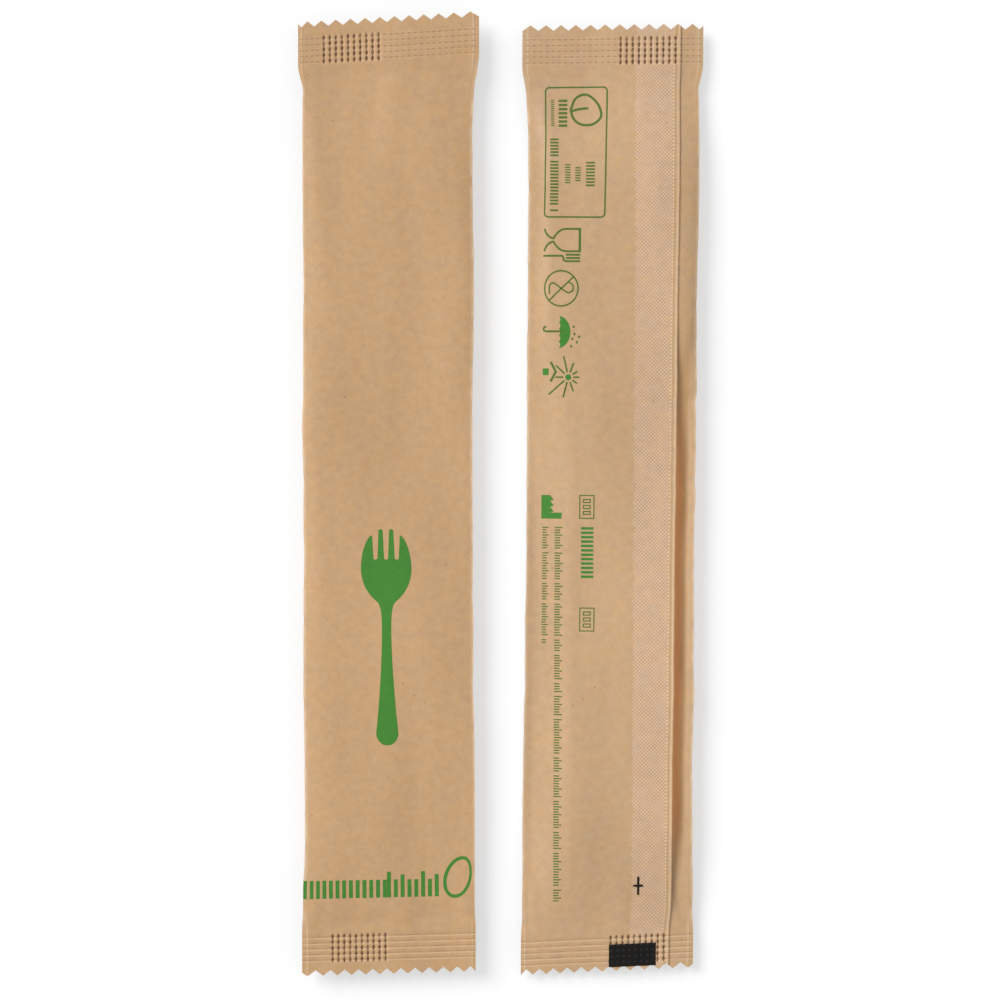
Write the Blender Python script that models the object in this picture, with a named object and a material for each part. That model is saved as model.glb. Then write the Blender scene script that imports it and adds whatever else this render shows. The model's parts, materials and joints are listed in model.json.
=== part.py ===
"""A pack of two wrapped wooden sporks that lie side by side, one face up and one back up.

Each sachet is a single web of kraft paper. The bagging machine folds the web into a tube round
a spork, seals its two edges together as a fin along the back, lays the fin over to one side,
and closes both ends with ribbed jaws and a zigzag knife. The sachet is sealed, so it is one
solid: a flattened tube that follows the spork inside it, with the fin as a loose flap.

Metres, +Z up. The origin is the centre of the pack's underside, +Y runs along the sachets
towards the end that holds the bowl of the spork.
"""

import math
from collections import namedtuple

import bmesh
import bpy
from mathutils import Vector

# The spork inside sets the size of its wrapper.
SPORK_LENGTH = 0.160
SPORK_BOWL_WIDTH = 0.029
SPORK_BOWL_LENGTH = 0.058
BOWL_HEIGHT = 0.0048  # of the filled tube over the bowl, above the table
HANDLE_HEIGHT = 0.0041  # of the filled tube over the handle, above the table
NECK_LENGTH = 0.034  # over which the tube changes from bowl to handle

# The paper tube.
PAPER_THICKNESS = 0.00012
SIDE_SLACK = 0.00265  # from the widest part of the bowl to the side fold
END_SLACK = 0.0084  # from the end of the spork to the seal
FLARE = 0.0011  # by which each side spreads where the jaws press the tube flat
FLARE_LENGTH = 0.0055
BOTTOM_GATHER = 0.0007  # by which a tuck draws in each side of the bottom seal
NARROWING = 5  # power of the way out from the centre line by which the filled tube is narrower
SHOULDER_LENGTH = 0.026  # in which the tube opens from the seal to its full height
PANEL_ROUNDING = 2.5  # power of the fall from the flat part of a panel to the side fold
REST_FLATS = (0.0115, 0.0115, 0.0115)  # as the flats below, of the panel that lies on the table
DRAPE_DELAY = 0.012  # from the end of the bowl to where the paper hangs slack
BRIM = 0.0013  # of slack paper that lies flat at the side fold

# The end seals: ribs across the sachet, then a plain margin with the zigzag cut.
RIB_COUNT = 5
RIB_PITCH = 0.00117
RIB_DEPTH = 0.00014  # from crest to trough
TOOTH_PITCH = 0.00297
TOOTH_DEPTH = 0.00115
FIRST_TOOTH = 0.48  # share of a pitch from the left fold to the first tip at the top
SKEW_FADE = 0.026  # inside the seal, where a skew cut no longer shifts the paper

# The fin seal on the back.
FIN_ROOT_OFFSET = 0.0007  # from the centre line, to the side that the fin lies on
FIN_WIDTH = 0.01275
FIN_PRESSED_GAP = 0.00005  # where jaws or the table press the fin down
FIN_LIFT = 0.0008  # of the free edge, where nothing presses it
ROOT_RISE = 0.0080  # width of the paper that climbs from the panel to the fin's upper side

# The strip of the back panel beside the free edge, which sags where nothing presses it.
STRIP_MIDDLE = 0.0147  # from the centre line
STRIP_REACH = 0.0019
STRIP_SAG = 0.0016

# How the two sachets lie.
SACHET_GAP = 0.0085  # between the seals of the two
BACK_UP_SHIFT = -0.0008  # of the back-up sachet, along its length
BACK_UP_TURN = math.radians(-0.43)

# Where the knife cut each, at its bottom and at its top: the skew of the cut, and the plain
# margin from the ribs to the tips of the teeth.
FACE_UP_SKEWS = (math.radians(-1.6), math.radians(-3.5))
FACE_UP_MARGINS = (0.0026, 0.0030)
BACK_UP_SKEWS = (math.radians(3.1), math.radians(1.0))
BACK_UP_MARGINS = (0.0015, 0.0024)

# How each settled on its spork: the height of its seals above the table; how much higher or lower
# its side folds are; the flat part of its upper panel from the centre line to each side over the
# handle, and over the bowl; how slack the paper hangs beside the handle, on the side away from
# the fin; and how far the web wandered across the tube at its ends.
FACE_UP_FOLD_HEIGHT = 0.0039
BACK_UP_FOLD_HEIGHT = 0.0022
FACE_UP_LEAN = -0.0003
BACK_UP_LEAN = 0.0017
FACE_UP_FLATS = (0.0130, 0.0130, 0.0130)
BACK_UP_FLATS = (0.0070, 0.0105, 0.0120)
FACE_UP_DRAPE = 0.0
BACK_UP_DRAPE = 1.0
FACE_UP_DRIFT = 0.00065
BACK_UP_DRIFT = 0.00030

# Sizes of the facets.
BODY_STEP = 0.0056
SHOULDER_STEPS = (0.10, 0.21, 0.36, 0.52, 0.74, 1.0)  # shares of the shoulder
FOLD_COLUMNS = (0.965, 0.91)  # shares of the half width, beside each side fold
COLUMN_TOLERANCE = 0.00008  # columns nearer than this are one

# What follows from the sizes above.
TWO_LAYERS = 2 * PAPER_THICKNESS
FILLED_WIDTH = SPORK_BOWL_WIDTH + 2 * SIDE_SLACK
FLAT_WIDTH = FILLED_WIDTH + 2 * FLARE
SEAL_EDGE = SPORK_LENGTH / 2 + END_SLACK  # the seal's inner edge, from the middle
RIBS_EDGE = SEAL_EDGE + RIB_COUNT * RIB_PITCH  # the ribs' outer edge, from the middle
NECK_MIDDLE = SPORK_LENGTH / 2 - SPORK_BOWL_LENGTH
FIN_STACK = TWO_LAYERS + FIN_PRESSED_GAP

KRAFT_COLOUR = (0.56, 0.36, 0.19, 1.0)
KRAFT_ROUGHNESS = 0.62

# A cross-section's place: y is its distance from the middle, rib its shift by the jaws, and
# cut the end whose zigzag it follows, 1 at the top, -1 at the bottom and 0 elsewhere.
Station = namedtuple("Station", "y rib cut")

# How one sachet lies, was cut and has settled. The sizes are explained beside their values.
Lie = namedtuple("Lie", "back_up skews margins fold_height lean flats drape drift")


def ease(share):
    """A smooth step from 0 to 1, for a share from 0 to 1."""
    share = min(max(share, 0.0), 1.0)
    return share * share * (3 - 2 * share)


def between(low, high, share):
    return low + (high - low) * share


def openness(y):
    """How far the spork has opened the tube: 0 in the seals, 1 past the shoulders."""
    return ease((SEAL_EDGE - abs(y)) / SHOULDER_LENGTH)


def spread(share, y):
    """Place across the sachet of a share of the flat tube's half width, before any drift."""
    filled = ease((SEAL_EDGE - abs(y)) / FLARE_LENGTH)
    gathered = BOTTOM_GATHER * (1 - filled) if y < 0 else 0
    narrower = math.copysign(FLARE * filled * abs(share) ** NARROWING, share)
    return share * (FLAT_WIDTH / 2 - gathered) - narrower


def across(share, y, lie):
    """Place across the sachet as it lies. The side folds don't drift with the rest of the web."""
    return spread(share, y) + lie.drift * y / SEAL_EDGE * (1 - abs(share) ** 8)


def bowl_share(y):
    """1 where the tube lies over the bowl of the spork, 0 over its handle."""
    return ease((y - NECK_MIDDLE) / NECK_LENGTH + 0.5)


def slack(y):
    """1 where the paper hangs loose beside the handle, 0 over the bowl."""
    return 1 - bowl_share(y)


def fall(share, y, flats, drape):
    """How far a panel has fallen from its flat part, 0, to the side fold, 1."""
    flat = between(flats[0 if share < 0 else 1], flats[2], bowl_share(y))
    sloped = spread(1, y) - flat
    way = max((abs(spread(share, y)) - flat) / sloped, 0)
    hanging = ease(way * sloped / (sloped - BRIM))
    slackness = drape * slack(y + DRAPE_DELAY) if share < 0 else 0
    return between(way ** PANEL_ROUNDING, hanging, slackness)


def upper_panel(share, y, lie):
    """How far the panel that faces up stands off the plane between the side folds."""
    crown = between(HANDLE_HEIGHT, BOWL_HEIGHT, bowl_share(y)) - lie.fold_height
    fold = math.copysign(lie.lean, share)
    way = fall(share, y, lie.flats, lie.drape)
    return TWO_LAYERS / 2 + openness(y) * between(crown, fold, way)


def lower_panel(share, y, lie):
    """How far the panel that lies on the table stands off the plane between the side folds."""
    depth = lie.fold_height - TWO_LAYERS / 2
    fold = math.copysign(lie.lean, share)
    return TWO_LAYERS / 2 + openness(y) * between(depth, -fold, fall(share, y, REST_FLATS, 0))


def strip_sag(share, y, lie):
    """How far the back panel sags beside the fin's free edge."""
    if not lie.back_up:
        return 0
    away = (share * FLAT_WIDTH / 2 - STRIP_MIDDLE) / STRIP_REACH
    return STRIP_SAG * slack(y) * openness(y) * math.exp(-away * away) * (1 - share ** 6)


def root_rise(share, root, y, sink):
    """How far the paper beside the fin's root has climbed towards the fin's upper side."""
    way = (root - share) * FLAT_WIDTH / 2 / ROOT_RISE
    return (FIN_STACK - sink) * ease(1 - way) if share < root else 0


def tooth_inset(x, end):
    """Distance from the line of the tooth tips to the cut, at x across the flat tube.

    One knife stroke ends one sachet and starts the next, so a sachet has its bottom tips where
    its top valleys are.
    """
    first = FIRST_TOOTH + (0 if end > 0 else 0.5)
    turns = (x + FLAT_WIDTH / 2) / TOOTH_PITCH - first
    return TOOTH_DEPTH * (1 - abs(2 * (turns - math.floor(turns)) - 1))


def columns():
    """The places across the flat tube, as shares of its half width, and two of their indices.

    They are the side folds, the fin's root and free edge, and every corner of the teeth. The
    two indices are the root's and the free edge's.
    """
    half = FLAT_WIDTH / 2
    root = FIN_ROOT_OFFSET / half
    edge = (FIN_ROOT_OFFSET + FIN_WIDTH) / half
    shares = [-1.0, 1.0, root, edge]
    first_corner = FIRST_TOOTH * TOOTH_PITCH % (TOOTH_PITCH / 2) - half
    corners = int(FLAT_WIDTH / (TOOTH_PITCH / 2)) + 1
    wanted = [(first_corner + n * TOOTH_PITCH / 2) / half for n in range(corners)]
    wanted += [side * share for share in FOLD_COLUMNS for side in (-1, 1)]
    for share in wanted:
        near = min(abs(share - taken) for taken in shares) * half
        if abs(share) < 1 and near > COLUMN_TOLERANCE:
            shares.append(share)
    shares.sort()
    return shares, shares.index(root), shares.index(edge)


def seal_stations(margin):
    """The cross-sections of the top end, from its cut in to the end of the shoulder."""
    seal = [Station(RIBS_EDGE + margin, 0, 1), Station(RIBS_EDGE, 0, 0)]
    for n in range(RIB_COUNT):
        for share, side in ((0.25, 1), (0.75, -1)):
            y = RIBS_EDGE - (n + share) * RIB_PITCH
            seal.append(Station(y, side * RIB_DEPTH / 2, 0))
    seal.append(Station(SEAL_EDGE, 0, 0))
    seal += [Station(SEAL_EDGE - share * SHOULDER_LENGTH, 0, 0) for share in SHOULDER_STEPS]
    return seal


def stations(lie):
    """Every cross-section from the bottom cut to the top cut."""
    bottom, top = (seal_stations(margin) for margin in lie.margins)
    middle = 2 * (SEAL_EDGE - SHOULDER_LENGTH)
    steps = max(2, round(middle / BODY_STEP))
    body = [Station(middle * (n / steps - 0.5), 0, 0) for n in range(1, steps)]
    return [Station(-s.y, s.rib, -s.cut) for s in bottom] + body + top[::-1]


def fin_gap(share, y, lie):
    """Gap below the fin, at a share of the way from its root to its free edge."""
    lift = FIN_LIFT * slack(y) if lie.back_up else 0
    return FIN_PRESSED_GAP + lift * openness(y) * share ** 1.5


def section_points(station, lie, shares, root, edge):
    """The cross-section's points as four rows: front, back, and the fin's under and over side.

    The sachet lies back up here, with the plane of the side folds at z = 0.
    """
    y, rib = station.y, station.rib
    back_panel, front_panel = (
        (upper_panel, lower_panel) if lie.back_up else (lower_panel, upper_panel)
    )
    sink = 0 if lie.back_up else FIN_STACK * openness(y)
    skew = math.tan(lie.skews[1 if y > 0 else 0])
    skew *= ease(1 - (SEAL_EDGE - abs(y)) / SKEW_FADE)
    rows = {"front": {}, "back": {}, "under": {}, "over": {}}
    for n, share in enumerate(shares):
        x = across(share, y, lie)
        along = y + skew * x
        if station.cut:
            along -= station.cut * tooth_inset(share * FLAT_WIDTH / 2, station.cut)
        taut = back_panel(share, y, lie)
        back = taut - strip_sag(share, y, lie) + root_rise(share, shares[root], y, sink)
        rows["front"][n] = Vector((x, along, rib - front_panel(share, y, lie)))
        if root <= n <= edge:
            back -= sink
            gap = fin_gap((share - shares[root]) / (shares[edge] - shares[root]), y, lie)
            under = taut - sink + gap
            if n > root:
                rows["under"][n] = Vector((x, along, under + rib))
            rows["over"][n] = Vector((x, along, under + TWO_LAYERS + rib))
        rows["back"][n] = Vector((x, along, back + rib))
    return rows


def outline(rows, count, root, edge):
    """The cross-section's points in order, once round the tube and the fin."""
    loop = [rows["front"][n] for n in range(count)]
    loop += [rows["back"][n] for n in range(count - 1, root - 1, -1)]
    loop += [rows["under"][n] for n in range(root + 1, edge + 1)]
    loop += [rows["over"][n] for n in range(edge, root - 1, -1)]
    loop += [rows["back"][n] for n in range(root - 1, -1, -1)]
    return loop


def close_end(bm, rows, count, root, edge):
    """The cut end of the paper, a strip that follows the zigzag."""
    front, back, under, over = (rows[name] for name in ("front", "back", "under", "over"))
    for n in range(count - 1):
        corners = [front[n], front[n + 1], back[n + 1]]
        if n + 1 == root:
            corners.append(over[root])
        bm.faces.new([*corners, back[n]])
    bm.faces.new([back[root], under[root + 1], over[root + 1], over[root]])
    for n in range(root + 1, edge):
        bm.faces.new([under[n], under[n + 1], over[n + 1], over[n]])


def sachet_mesh(name, lie):
    """The sachet as a loft through all its cross-sections, closed at both cuts."""
    shares, root, edge = columns()
    bm = bmesh.new()
    sections = []
    for station in stations(lie):
        points = section_points(station, lie, shares, root, edge)
        sections.append(
            {row: {n: bm.verts.new(p) for n, p in found.items()} for row, found in points.items()}
        )
    loops = [outline(rows, len(shares), root, edge) for rows in sections]
    for first, second in zip(loops, loops[1:]):
        for n, corner in enumerate(first):
            after = (n + 1) % len(first)
            bm.faces.new([corner, first[after], second[after], second[n]])
    for rows in (sections[0], sections[-1]):
        close_end(bm, rows, len(shares), root, edge)
    bmesh.ops.recalc_face_normals(bm, faces=bm.faces)
    mesh = bpy.data.meshes.new(name)
    bm.to_mesh(mesh)
    bm.free()
    mesh.shade_smooth()
    mesh.set_sharp_from_angle(angle=math.radians(35))
    return mesh


def kraft_paper(name):
    """Unbleached, machine-glazed wrapping paper."""
    material = bpy.data.materials.new(name)
    material.use_nodes = True
    shader = material.node_tree.nodes["Principled BSDF"]
    shader.inputs["Base Color"].default_value = KRAFT_COLOUR
    shader.inputs["Roughness"].default_value = KRAFT_ROUGHNESS
    shader.inputs["Metallic"].default_value = 0.0
    return material


def place_sachet(name, lie, x, y, turn, pack):
    """Adds one sachet, turned over if it lies face up, resting on the table."""
    mesh = sachet_mesh(name, lie)
    mesh.materials.append(kraft_paper(f"{name}_kraft"))
    sachet = bpy.data.objects.new(name, mesh)
    sachet.location = (x, y, lie.fold_height)
    sachet.rotation_euler = (0, 0 if lie.back_up else math.pi, turn)
    sachet.parent = pack
    bpy.context.scene.collection.objects.link(sachet)
    return sachet


def centre_pack(pack, sachets):
    """Moves the pack so that the origin is the centre of its outline on the table."""
    bpy.context.view_layer.update()
    corners = [s.matrix_world @ v.co for s in sachets for v in s.data.vertices]
    for axis in (0, 1):
        values = [corner[axis] for corner in corners]
        pack.location[axis] = -(min(values) + max(values)) / 2


def main():
    for old in list(bpy.data.objects):
        bpy.data.objects.remove(old)
    pack = bpy.data.objects.new("pack", None)
    bpy.context.scene.collection.objects.link(pack)
    apart = FLAT_WIDTH + SACHET_GAP
    face_up = Lie(
        back_up=False,
        skews=FACE_UP_SKEWS,
        margins=FACE_UP_MARGINS,
        fold_height=FACE_UP_FOLD_HEIGHT,
        lean=FACE_UP_LEAN,
        flats=FACE_UP_FLATS,
        drape=FACE_UP_DRAPE,
        drift=FACE_UP_DRIFT,
    )
    back_up = Lie(
        back_up=True,
        skews=BACK_UP_SKEWS,
        margins=BACK_UP_MARGINS,
        fold_height=BACK_UP_FOLD_HEIGHT,
        lean=BACK_UP_LEAN,
        flats=BACK_UP_FLATS,
        drape=BACK_UP_DRAPE,
        drift=BACK_UP_DRIFT,
    )
    sachets = [
        place_sachet("sachet_face_up", face_up, -apart / 2, 0, 0, pack),
        place_sachet("sachet_back_up", back_up, apart / 2, BACK_UP_SHIFT, BACK_UP_TURN, pack),
    ]
    centre_pack(pack, sachets)


main()
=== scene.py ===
"""Looks of a pack of two wrapped wooden sporks: kraft paper, print, floor, light and camera.

Everything is in metres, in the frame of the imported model. A sachet's own frame has its origin in
the middle of the plane of its side folds, +X across it, +Y towards its top seal and +Z out of its
back panel. A place on its paper is given on the flat tube: s runs across it from the centre line
and t along it from the middle between the two seals.
"""

import json
import logging
import math
from dataclasses import dataclass, field
from enum import Enum
from functools import partial, reduce
from typing import Any, Iterable, Mapping, Optional, Sequence, Union

import bmesh
import bpy
import numpy as np
from mathutils import Matrix, Vector
from mathutils.geometry import delaunay_2d_cdt

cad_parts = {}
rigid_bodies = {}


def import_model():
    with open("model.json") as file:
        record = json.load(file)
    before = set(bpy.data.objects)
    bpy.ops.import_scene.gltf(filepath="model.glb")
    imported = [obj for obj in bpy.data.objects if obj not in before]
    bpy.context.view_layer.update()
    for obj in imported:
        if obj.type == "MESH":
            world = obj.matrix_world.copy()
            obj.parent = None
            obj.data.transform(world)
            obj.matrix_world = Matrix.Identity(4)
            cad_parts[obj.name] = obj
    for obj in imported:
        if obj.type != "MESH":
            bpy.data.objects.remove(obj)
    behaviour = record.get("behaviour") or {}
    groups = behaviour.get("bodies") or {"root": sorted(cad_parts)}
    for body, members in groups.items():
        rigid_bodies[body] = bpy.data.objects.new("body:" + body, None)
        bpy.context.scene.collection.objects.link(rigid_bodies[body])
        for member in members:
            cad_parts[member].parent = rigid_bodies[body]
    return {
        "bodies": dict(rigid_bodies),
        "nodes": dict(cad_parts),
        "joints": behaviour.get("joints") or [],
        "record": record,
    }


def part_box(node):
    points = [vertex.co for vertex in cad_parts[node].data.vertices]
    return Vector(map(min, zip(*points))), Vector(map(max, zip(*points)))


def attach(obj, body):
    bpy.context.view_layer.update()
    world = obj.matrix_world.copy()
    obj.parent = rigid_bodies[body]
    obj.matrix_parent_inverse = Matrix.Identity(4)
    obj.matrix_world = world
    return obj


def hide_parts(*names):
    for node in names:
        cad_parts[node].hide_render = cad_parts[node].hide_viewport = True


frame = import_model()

LOG = logging.getLogger("spork_pack")
BODY = "root"
SHEET_MAP = "sheet"  # the UV map that holds each place's s and t, in metres
CREASE_AND_SHEEN_MASK = "crease"  # the attribute that is 1 where the side folds are painted paler, partly creased paper and partly a painted highlight on their rims, and 0 elsewhere
SHARP = math.radians(50)  # edges sharper than this are shaded as edges
HAIR = 0.00001  # a step across the paper that is too small to see
UNBROKEN = (99,)  # more dashes than a row has

Array = np.ndarray
Number = Union[float, Array]
Ring = Array
Rings = list[Ring]  # an outline, then its holes
Pair = tuple[float, float]
Triple = tuple[float, float, float]
Point = Sequence[float]
Colour = Triple
Mesh, Piece, Material = bpy.types.Mesh, bpy.types.Object, bpy.types.Material
Socket = bpy.types.NodeSocket
Value = Union[Socket, float]
Tint = Union[Socket, Colour]
Stray = tuple[Pair, ...]  # places t of a side fold, and how far it strays outwards there


def ease(share: Array) -> Array:
    """A smooth step from 0 to 1, for shares from 0 to 1."""
    share = np.clip(share, 0.0, 1.0)
    return share * share * (3 - 2 * share)


def between(low: Number, high: Number, share: Array) -> Array:
    """The value at a share of the way from low to high."""
    return low + (high - low) * share


def hump(distance: Array, width: float) -> Array:
    """A round bump of height 1 at distance 0 that has faded a width away."""
    return np.exp(-((distance / width) ** 2))


class Side(Enum):
    """A panel of the tube."""

    FRONT = "front"
    BACK = "back"


class End(Enum):
    """An end of the sachet, by the sign of t there."""

    BOTTOM = -1
    TOP = 1


class Band(Enum):
    """A stretch of the outline of a cross-section, by the material slot it wears."""

    FRONT = 0
    BACK_RIGHT = 1
    UNDER = 2
    OVER = 3
    BACK_LEFT = 4


@dataclass(frozen=True)
class Wave:
    """A shallow swell of the paper.

    Attributes:
        height: From its middle to its crest.
        along: Its length along the sachet.
        across: Its length across the sachet.
        phase: Its angle at the middle of the sachet.
    """

    height: float
    along: float
    across: float
    phase: float

    def at(self, s: Array, t: Array) -> Array:
        """Its height at places on the paper."""
        return self.height * np.sin(2 * math.pi * (t / self.along + s / self.across) + self.phase)


@dataclass(frozen=True)
class Dent:
    """A small hollow that handling left in the paper.

    Attributes:
        place: Its middle, as s and t.
        size: How far it reaches across and along its own direction.
        turn: Angle of its long axis from the sachet's length.
        depth: How far it sinks; a bump has a negative depth.
        pull: How far it draws the paper in towards the centre line.
    """

    place: Pair
    size: Pair
    turn: float = 0.0
    depth: float = 0.0
    pull: float = 0.0

    def share(self, s: Array, t: Array) -> Array:
        """1 in its middle, fading to 0 outside it.

        Args:
            s: Places across the flat tube.
            t: Places along it.

        Returns:
            The shares.
        """
        ds, dt = s - self.place[0], t - self.place[1]
        cos, sin = math.cos(self.turn), math.sin(self.turn)
        across, along = (ds * cos + dt * sin) / self.size[0], (dt * cos - ds * sin) / self.size[1]
        return np.exp(-(across**2) - along**2)


@dataclass(frozen=True)
class Knife:
    """Where the knife cut one sachet, as bottom and top values.

    Attributes:
        skews: Angle of each cut across the sachet.
        margins: From the ribs to the tips of the teeth.
    """

    skews: Pair
    margins: Pair


@dataclass(frozen=True)
class Tube:
    """The form of one filled sachet, as the solids of the pack have it."""

    knife: Knife
    back_up: bool
    spork_length: float = 0.160
    bowl_width: float = 0.029
    bowl_length: float = 0.058
    flats: Triple = (0.0130, 0.0130, 0.0130)
    rest_flats: Triple = (0.0115, 0.0115, 0.0115)
    drape: float = 0.0
    drape_delay: float = 0.012
    brim: float = 0.0013
    bowl_height: float = 0.0048
    handle_height: float = 0.0041
    neck_length: float = 0.034
    paper: float = 0.00012
    side_slack: float = 0.00265
    end_slack: float = 0.0084
    flare: float = 0.0011
    flare_length: float = 0.0055
    bottom_gather: float = 0.0007
    fold_height: float = 0.0039
    lean: float = -0.0003
    shoulder_length: float = 0.026
    panel_rounding: float = 2.5
    narrowing: float = 5.0
    rib_count: int = 5
    rib_pitch: float = 0.00117
    tooth_pitch: float = 0.00297
    tooth_depth: float = 0.00115
    first_tooth: float = 0.48
    skew_fade: float = 0.026
    fin_root: float = 0.0007
    fin_width: float = 0.01275
    fin_pressed_gap: float = 0.00005
    fin_lift: float = 0.0008
    root_rise: float = 0.0080
    web_drift: float = 0.0003
    strip_sag: float = 0.0016
    strip_middle: float = 0.0147
    strip_reach: float = 0.0019
    panel_waves: tuple[Wave, ...] = (Wave(0.00010, 0.061, 0.090, 0.4), Wave(0.00005, 0.027, -0.041, 2.1))
    fold_waves: tuple[Wave, ...] = (
        Wave(0.00004, 0.0093, 0.060, 1.1),
        Wave(0.00003, 0.0041, 0.048, 3.9),
        Wave(0.00002, 0.0058, 0.031, 2.2),
    )
    pucker: Wave = Wave(0.00006, 0.060, 0.0078, 0.9)
    pucker_length: float = 0.006
    strip_waves: tuple[Wave, ...] = (Wave(0.00014, 0.034, 0.2, 0.5), Wave(0.00008, 0.015, 0.2, 2.6))
    dents: tuple[Dent, ...] = ()
    left_fold: Stray = ()
    right_fold: Stray = ()

    @property
    def two_layers(self) -> float:
        """Thickness of the empty tube."""
        return 2 * self.paper

    @property
    def filled_width(self) -> float:
        """Width of the tube over the spork."""
        return self.bowl_width + 2 * self.side_slack

    @property
    def flat_half(self) -> float:
        """Half the width of the flat tube."""
        return self.filled_width / 2 + self.flare

    @property
    def seal_edge(self) -> float:
        """Distance of each seal's inner edge from the middle."""
        return self.spork_length / 2 + self.end_slack

    @property
    def ribs_edge(self) -> float:
        """Distance of the ribs' outer edges from the middle."""
        return self.seal_edge + self.rib_count * self.rib_pitch

    @property
    def fin_edge(self) -> float:
        """Place of the fin's free edge across the tube."""
        return self.fin_root + self.fin_width

    @property
    def fin_stack(self) -> float:
        """Height of the pressed fin above its panel."""
        return self.two_layers + self.fin_pressed_gap

    def openness(self, t: Array) -> Array:
        """How far the spork has opened the tube: 0 in the seals, 1 past the shoulders."""
        return ease((self.seal_edge - np.abs(t)) / self.shoulder_length)

    def bowl_share(self, t: Array) -> Array:
        """1 where the tube lies over the bowl of the spork, 0 over its handle."""
        middle = self.spork_length / 2 - self.bowl_length
        return ease((t - middle) / self.neck_length + 0.5)

    def spread(self, s: Array, t: Array) -> Array:
        """Place of the paper across the sachet, with even side folds.

        Args:
            s: Places across the flat tube.
            t: Places along it.

        Returns:
            Their places across the sachet.
        """
        share = s / self.flat_half
        filled = ease((self.seal_edge - np.abs(t)) / self.flare_length)
        gathered = np.where(t < 0, self.bottom_gather, 0.0) * (1 - filled)
        return s - share * gathered - np.sign(s) * self.flare * filled * np.abs(share) ** self.narrowing

    def across(self, s: Array, t: Array) -> Array:
        """Place of the paper across the sachet as it lies.

        Args:
            s: Places across the flat tube.
            t: Places along it.

        Returns:
            Their places across the sachet.
        """
        share = np.abs(s) / self.flat_half
        swell = sum(wave.at(s, t) for wave in self.fold_waves) * self.openness(t)
        pulled = sum(dent.pull * dent.share(s, t) for dent in self.dents)
        drift = self.web_drift * t / self.seal_edge * (1 - share**8)
        stray = np.where(s < 0, self.strayed(self.left_fold, t), self.strayed(self.right_fold, t)) * share**3
        return self.spread(s, t) + (swell * share**4 + stray - pulled) * np.sign(s) + drift

    @staticmethod
    def strayed(fold: Stray, t: Array) -> Array:
        """How far a side fold strays outwards."""
        places, values = zip(*fold) if fold else ((0.0,), (0.0,))
        return np.interp(t, places, values)

    def along(self, s: Array, t: Array) -> Array:
        """Place of the paper along the sachet, with its seals skewed as the knife was.

        Args:
            s: Places across the flat tube.
            t: Places along it.

        Returns:
            Their places along the sachet.
        """
        bottom, top = (math.tan(angle) for angle in self.knife.skews)
        fade = ease(1 - (self.seal_edge - np.abs(t)) / self.skew_fade)
        return t + np.where(t > 0, top, bottom) * fade * self.across(s, t)

    def slack(self, t: Array) -> Array:
        """1 where the paper hangs loose beside the handle, 0 over the bowl."""
        return 1 - self.bowl_share(t)

    def fall(self, s: Array, t: Array, upper: bool) -> Array:
        """How far a panel has fallen from its flat part, 0, to the side fold, 1.

        Args:
            s: Places across the flat tube.
            t: Places along it.
            upper: Whether it is the panel that faces up.

        Returns:
            The shares.
        """
        left, right, bowl = self.flats if upper else self.rest_flats
        flat = between(np.where(s < 0, left, right), bowl, self.bowl_share(t))
        sloped = self.spread(np.full_like(t, self.flat_half), t) - flat
        way = np.clip((np.abs(self.spread(s, t)) - flat) / sloped, 0, 1)
        hanging = ease(way * sloped / (sloped - self.brim))
        drape = self.drape * self.slack(t + self.drape_delay) * (s < 0) * upper
        return between(way**self.panel_rounding, hanging, drape)

    def panel(self, s: Array, t: Array, depth: Array, upper: bool) -> Array:
        """How far a panel stands off the plane between the side folds.

        Args:
            s: Places across the flat tube.
            t: Places along it.
            depth: How far the panel's flat part stands off the plane.
            upper: Whether it is the panel that faces up.

        Returns:
            The heights, towards the panel's own outside.
        """
        lean = self.lean * np.sign(s) * (1 if upper else -1)
        return self.two_layers / 2 + self.openness(t) * between(depth, lean, self.fall(s, t, upper))

    def upper_panel(self, s: Array, t: Array) -> Array:
        """The panel that faces up."""
        return self.panel(s, t, self.crown(t), True)

    def lower_panel(self, s: Array, t: Array) -> Array:
        """The panel that the sachet lies on."""
        return self.panel(s, t, self.fold_height - self.two_layers / 2, False)

    def crown(self, t: Array) -> Array:
        """Height of the upper panel above the plane of the side folds."""
        return between(self.handle_height, self.bowl_height, self.bowl_share(t)) - self.fold_height

    def swell(self, s: Array, t: Array) -> Array:
        """The shallow waves of the panel that faces up, and the puckers beside the seals.

        Args:
            s: Places across the flat tube.
            t: Places along it.

        Returns:
            The heights.
        """
        taper = (1 - (s / self.flat_half) ** 2) ** 2
        waves = sum(wave.at(s, t) for wave in self.panel_waves) * self.openness(t)
        inside = (self.seal_edge - np.abs(t)) / self.pucker_length
        puckers = self.pucker.at(s, t) * np.clip(inside, 0, None) * np.exp(1 - np.clip(inside, 0, None))
        return (waves + puckers) * taper

    def dented(self, s: Array, t: Array) -> Array:
        """How deep the dents are."""
        return sum(dent.depth * dent.share(s, t) for dent in self.dents) + 0.0 * t

    def sagging(self, s: Array, t: Array) -> Array:
        """How far the back panel sags beside the fin's free edge.

        Args:
            s: Places across the flat tube.
            t: Places along it.

        Returns:
            The depths.
        """
        waves = sum(wave.at(s, t) for wave in self.strip_waves)
        zone = hump(s - self.strip_middle, self.strip_reach) * (1 - (s / self.flat_half) ** 6)
        return (self.strip_sag + waves) * self.slack(t) * zone * self.openness(t)

    def climb(self, s: Array, t: Array) -> Array:
        """How far the paper beside the fin's root has climbed towards the fin's upper side."""
        way = (self.fin_root - s) / self.root_rise
        return (self.fin_stack - self.fin_sink(t)) * ease(1 - way) * (s < self.fin_root)

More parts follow.
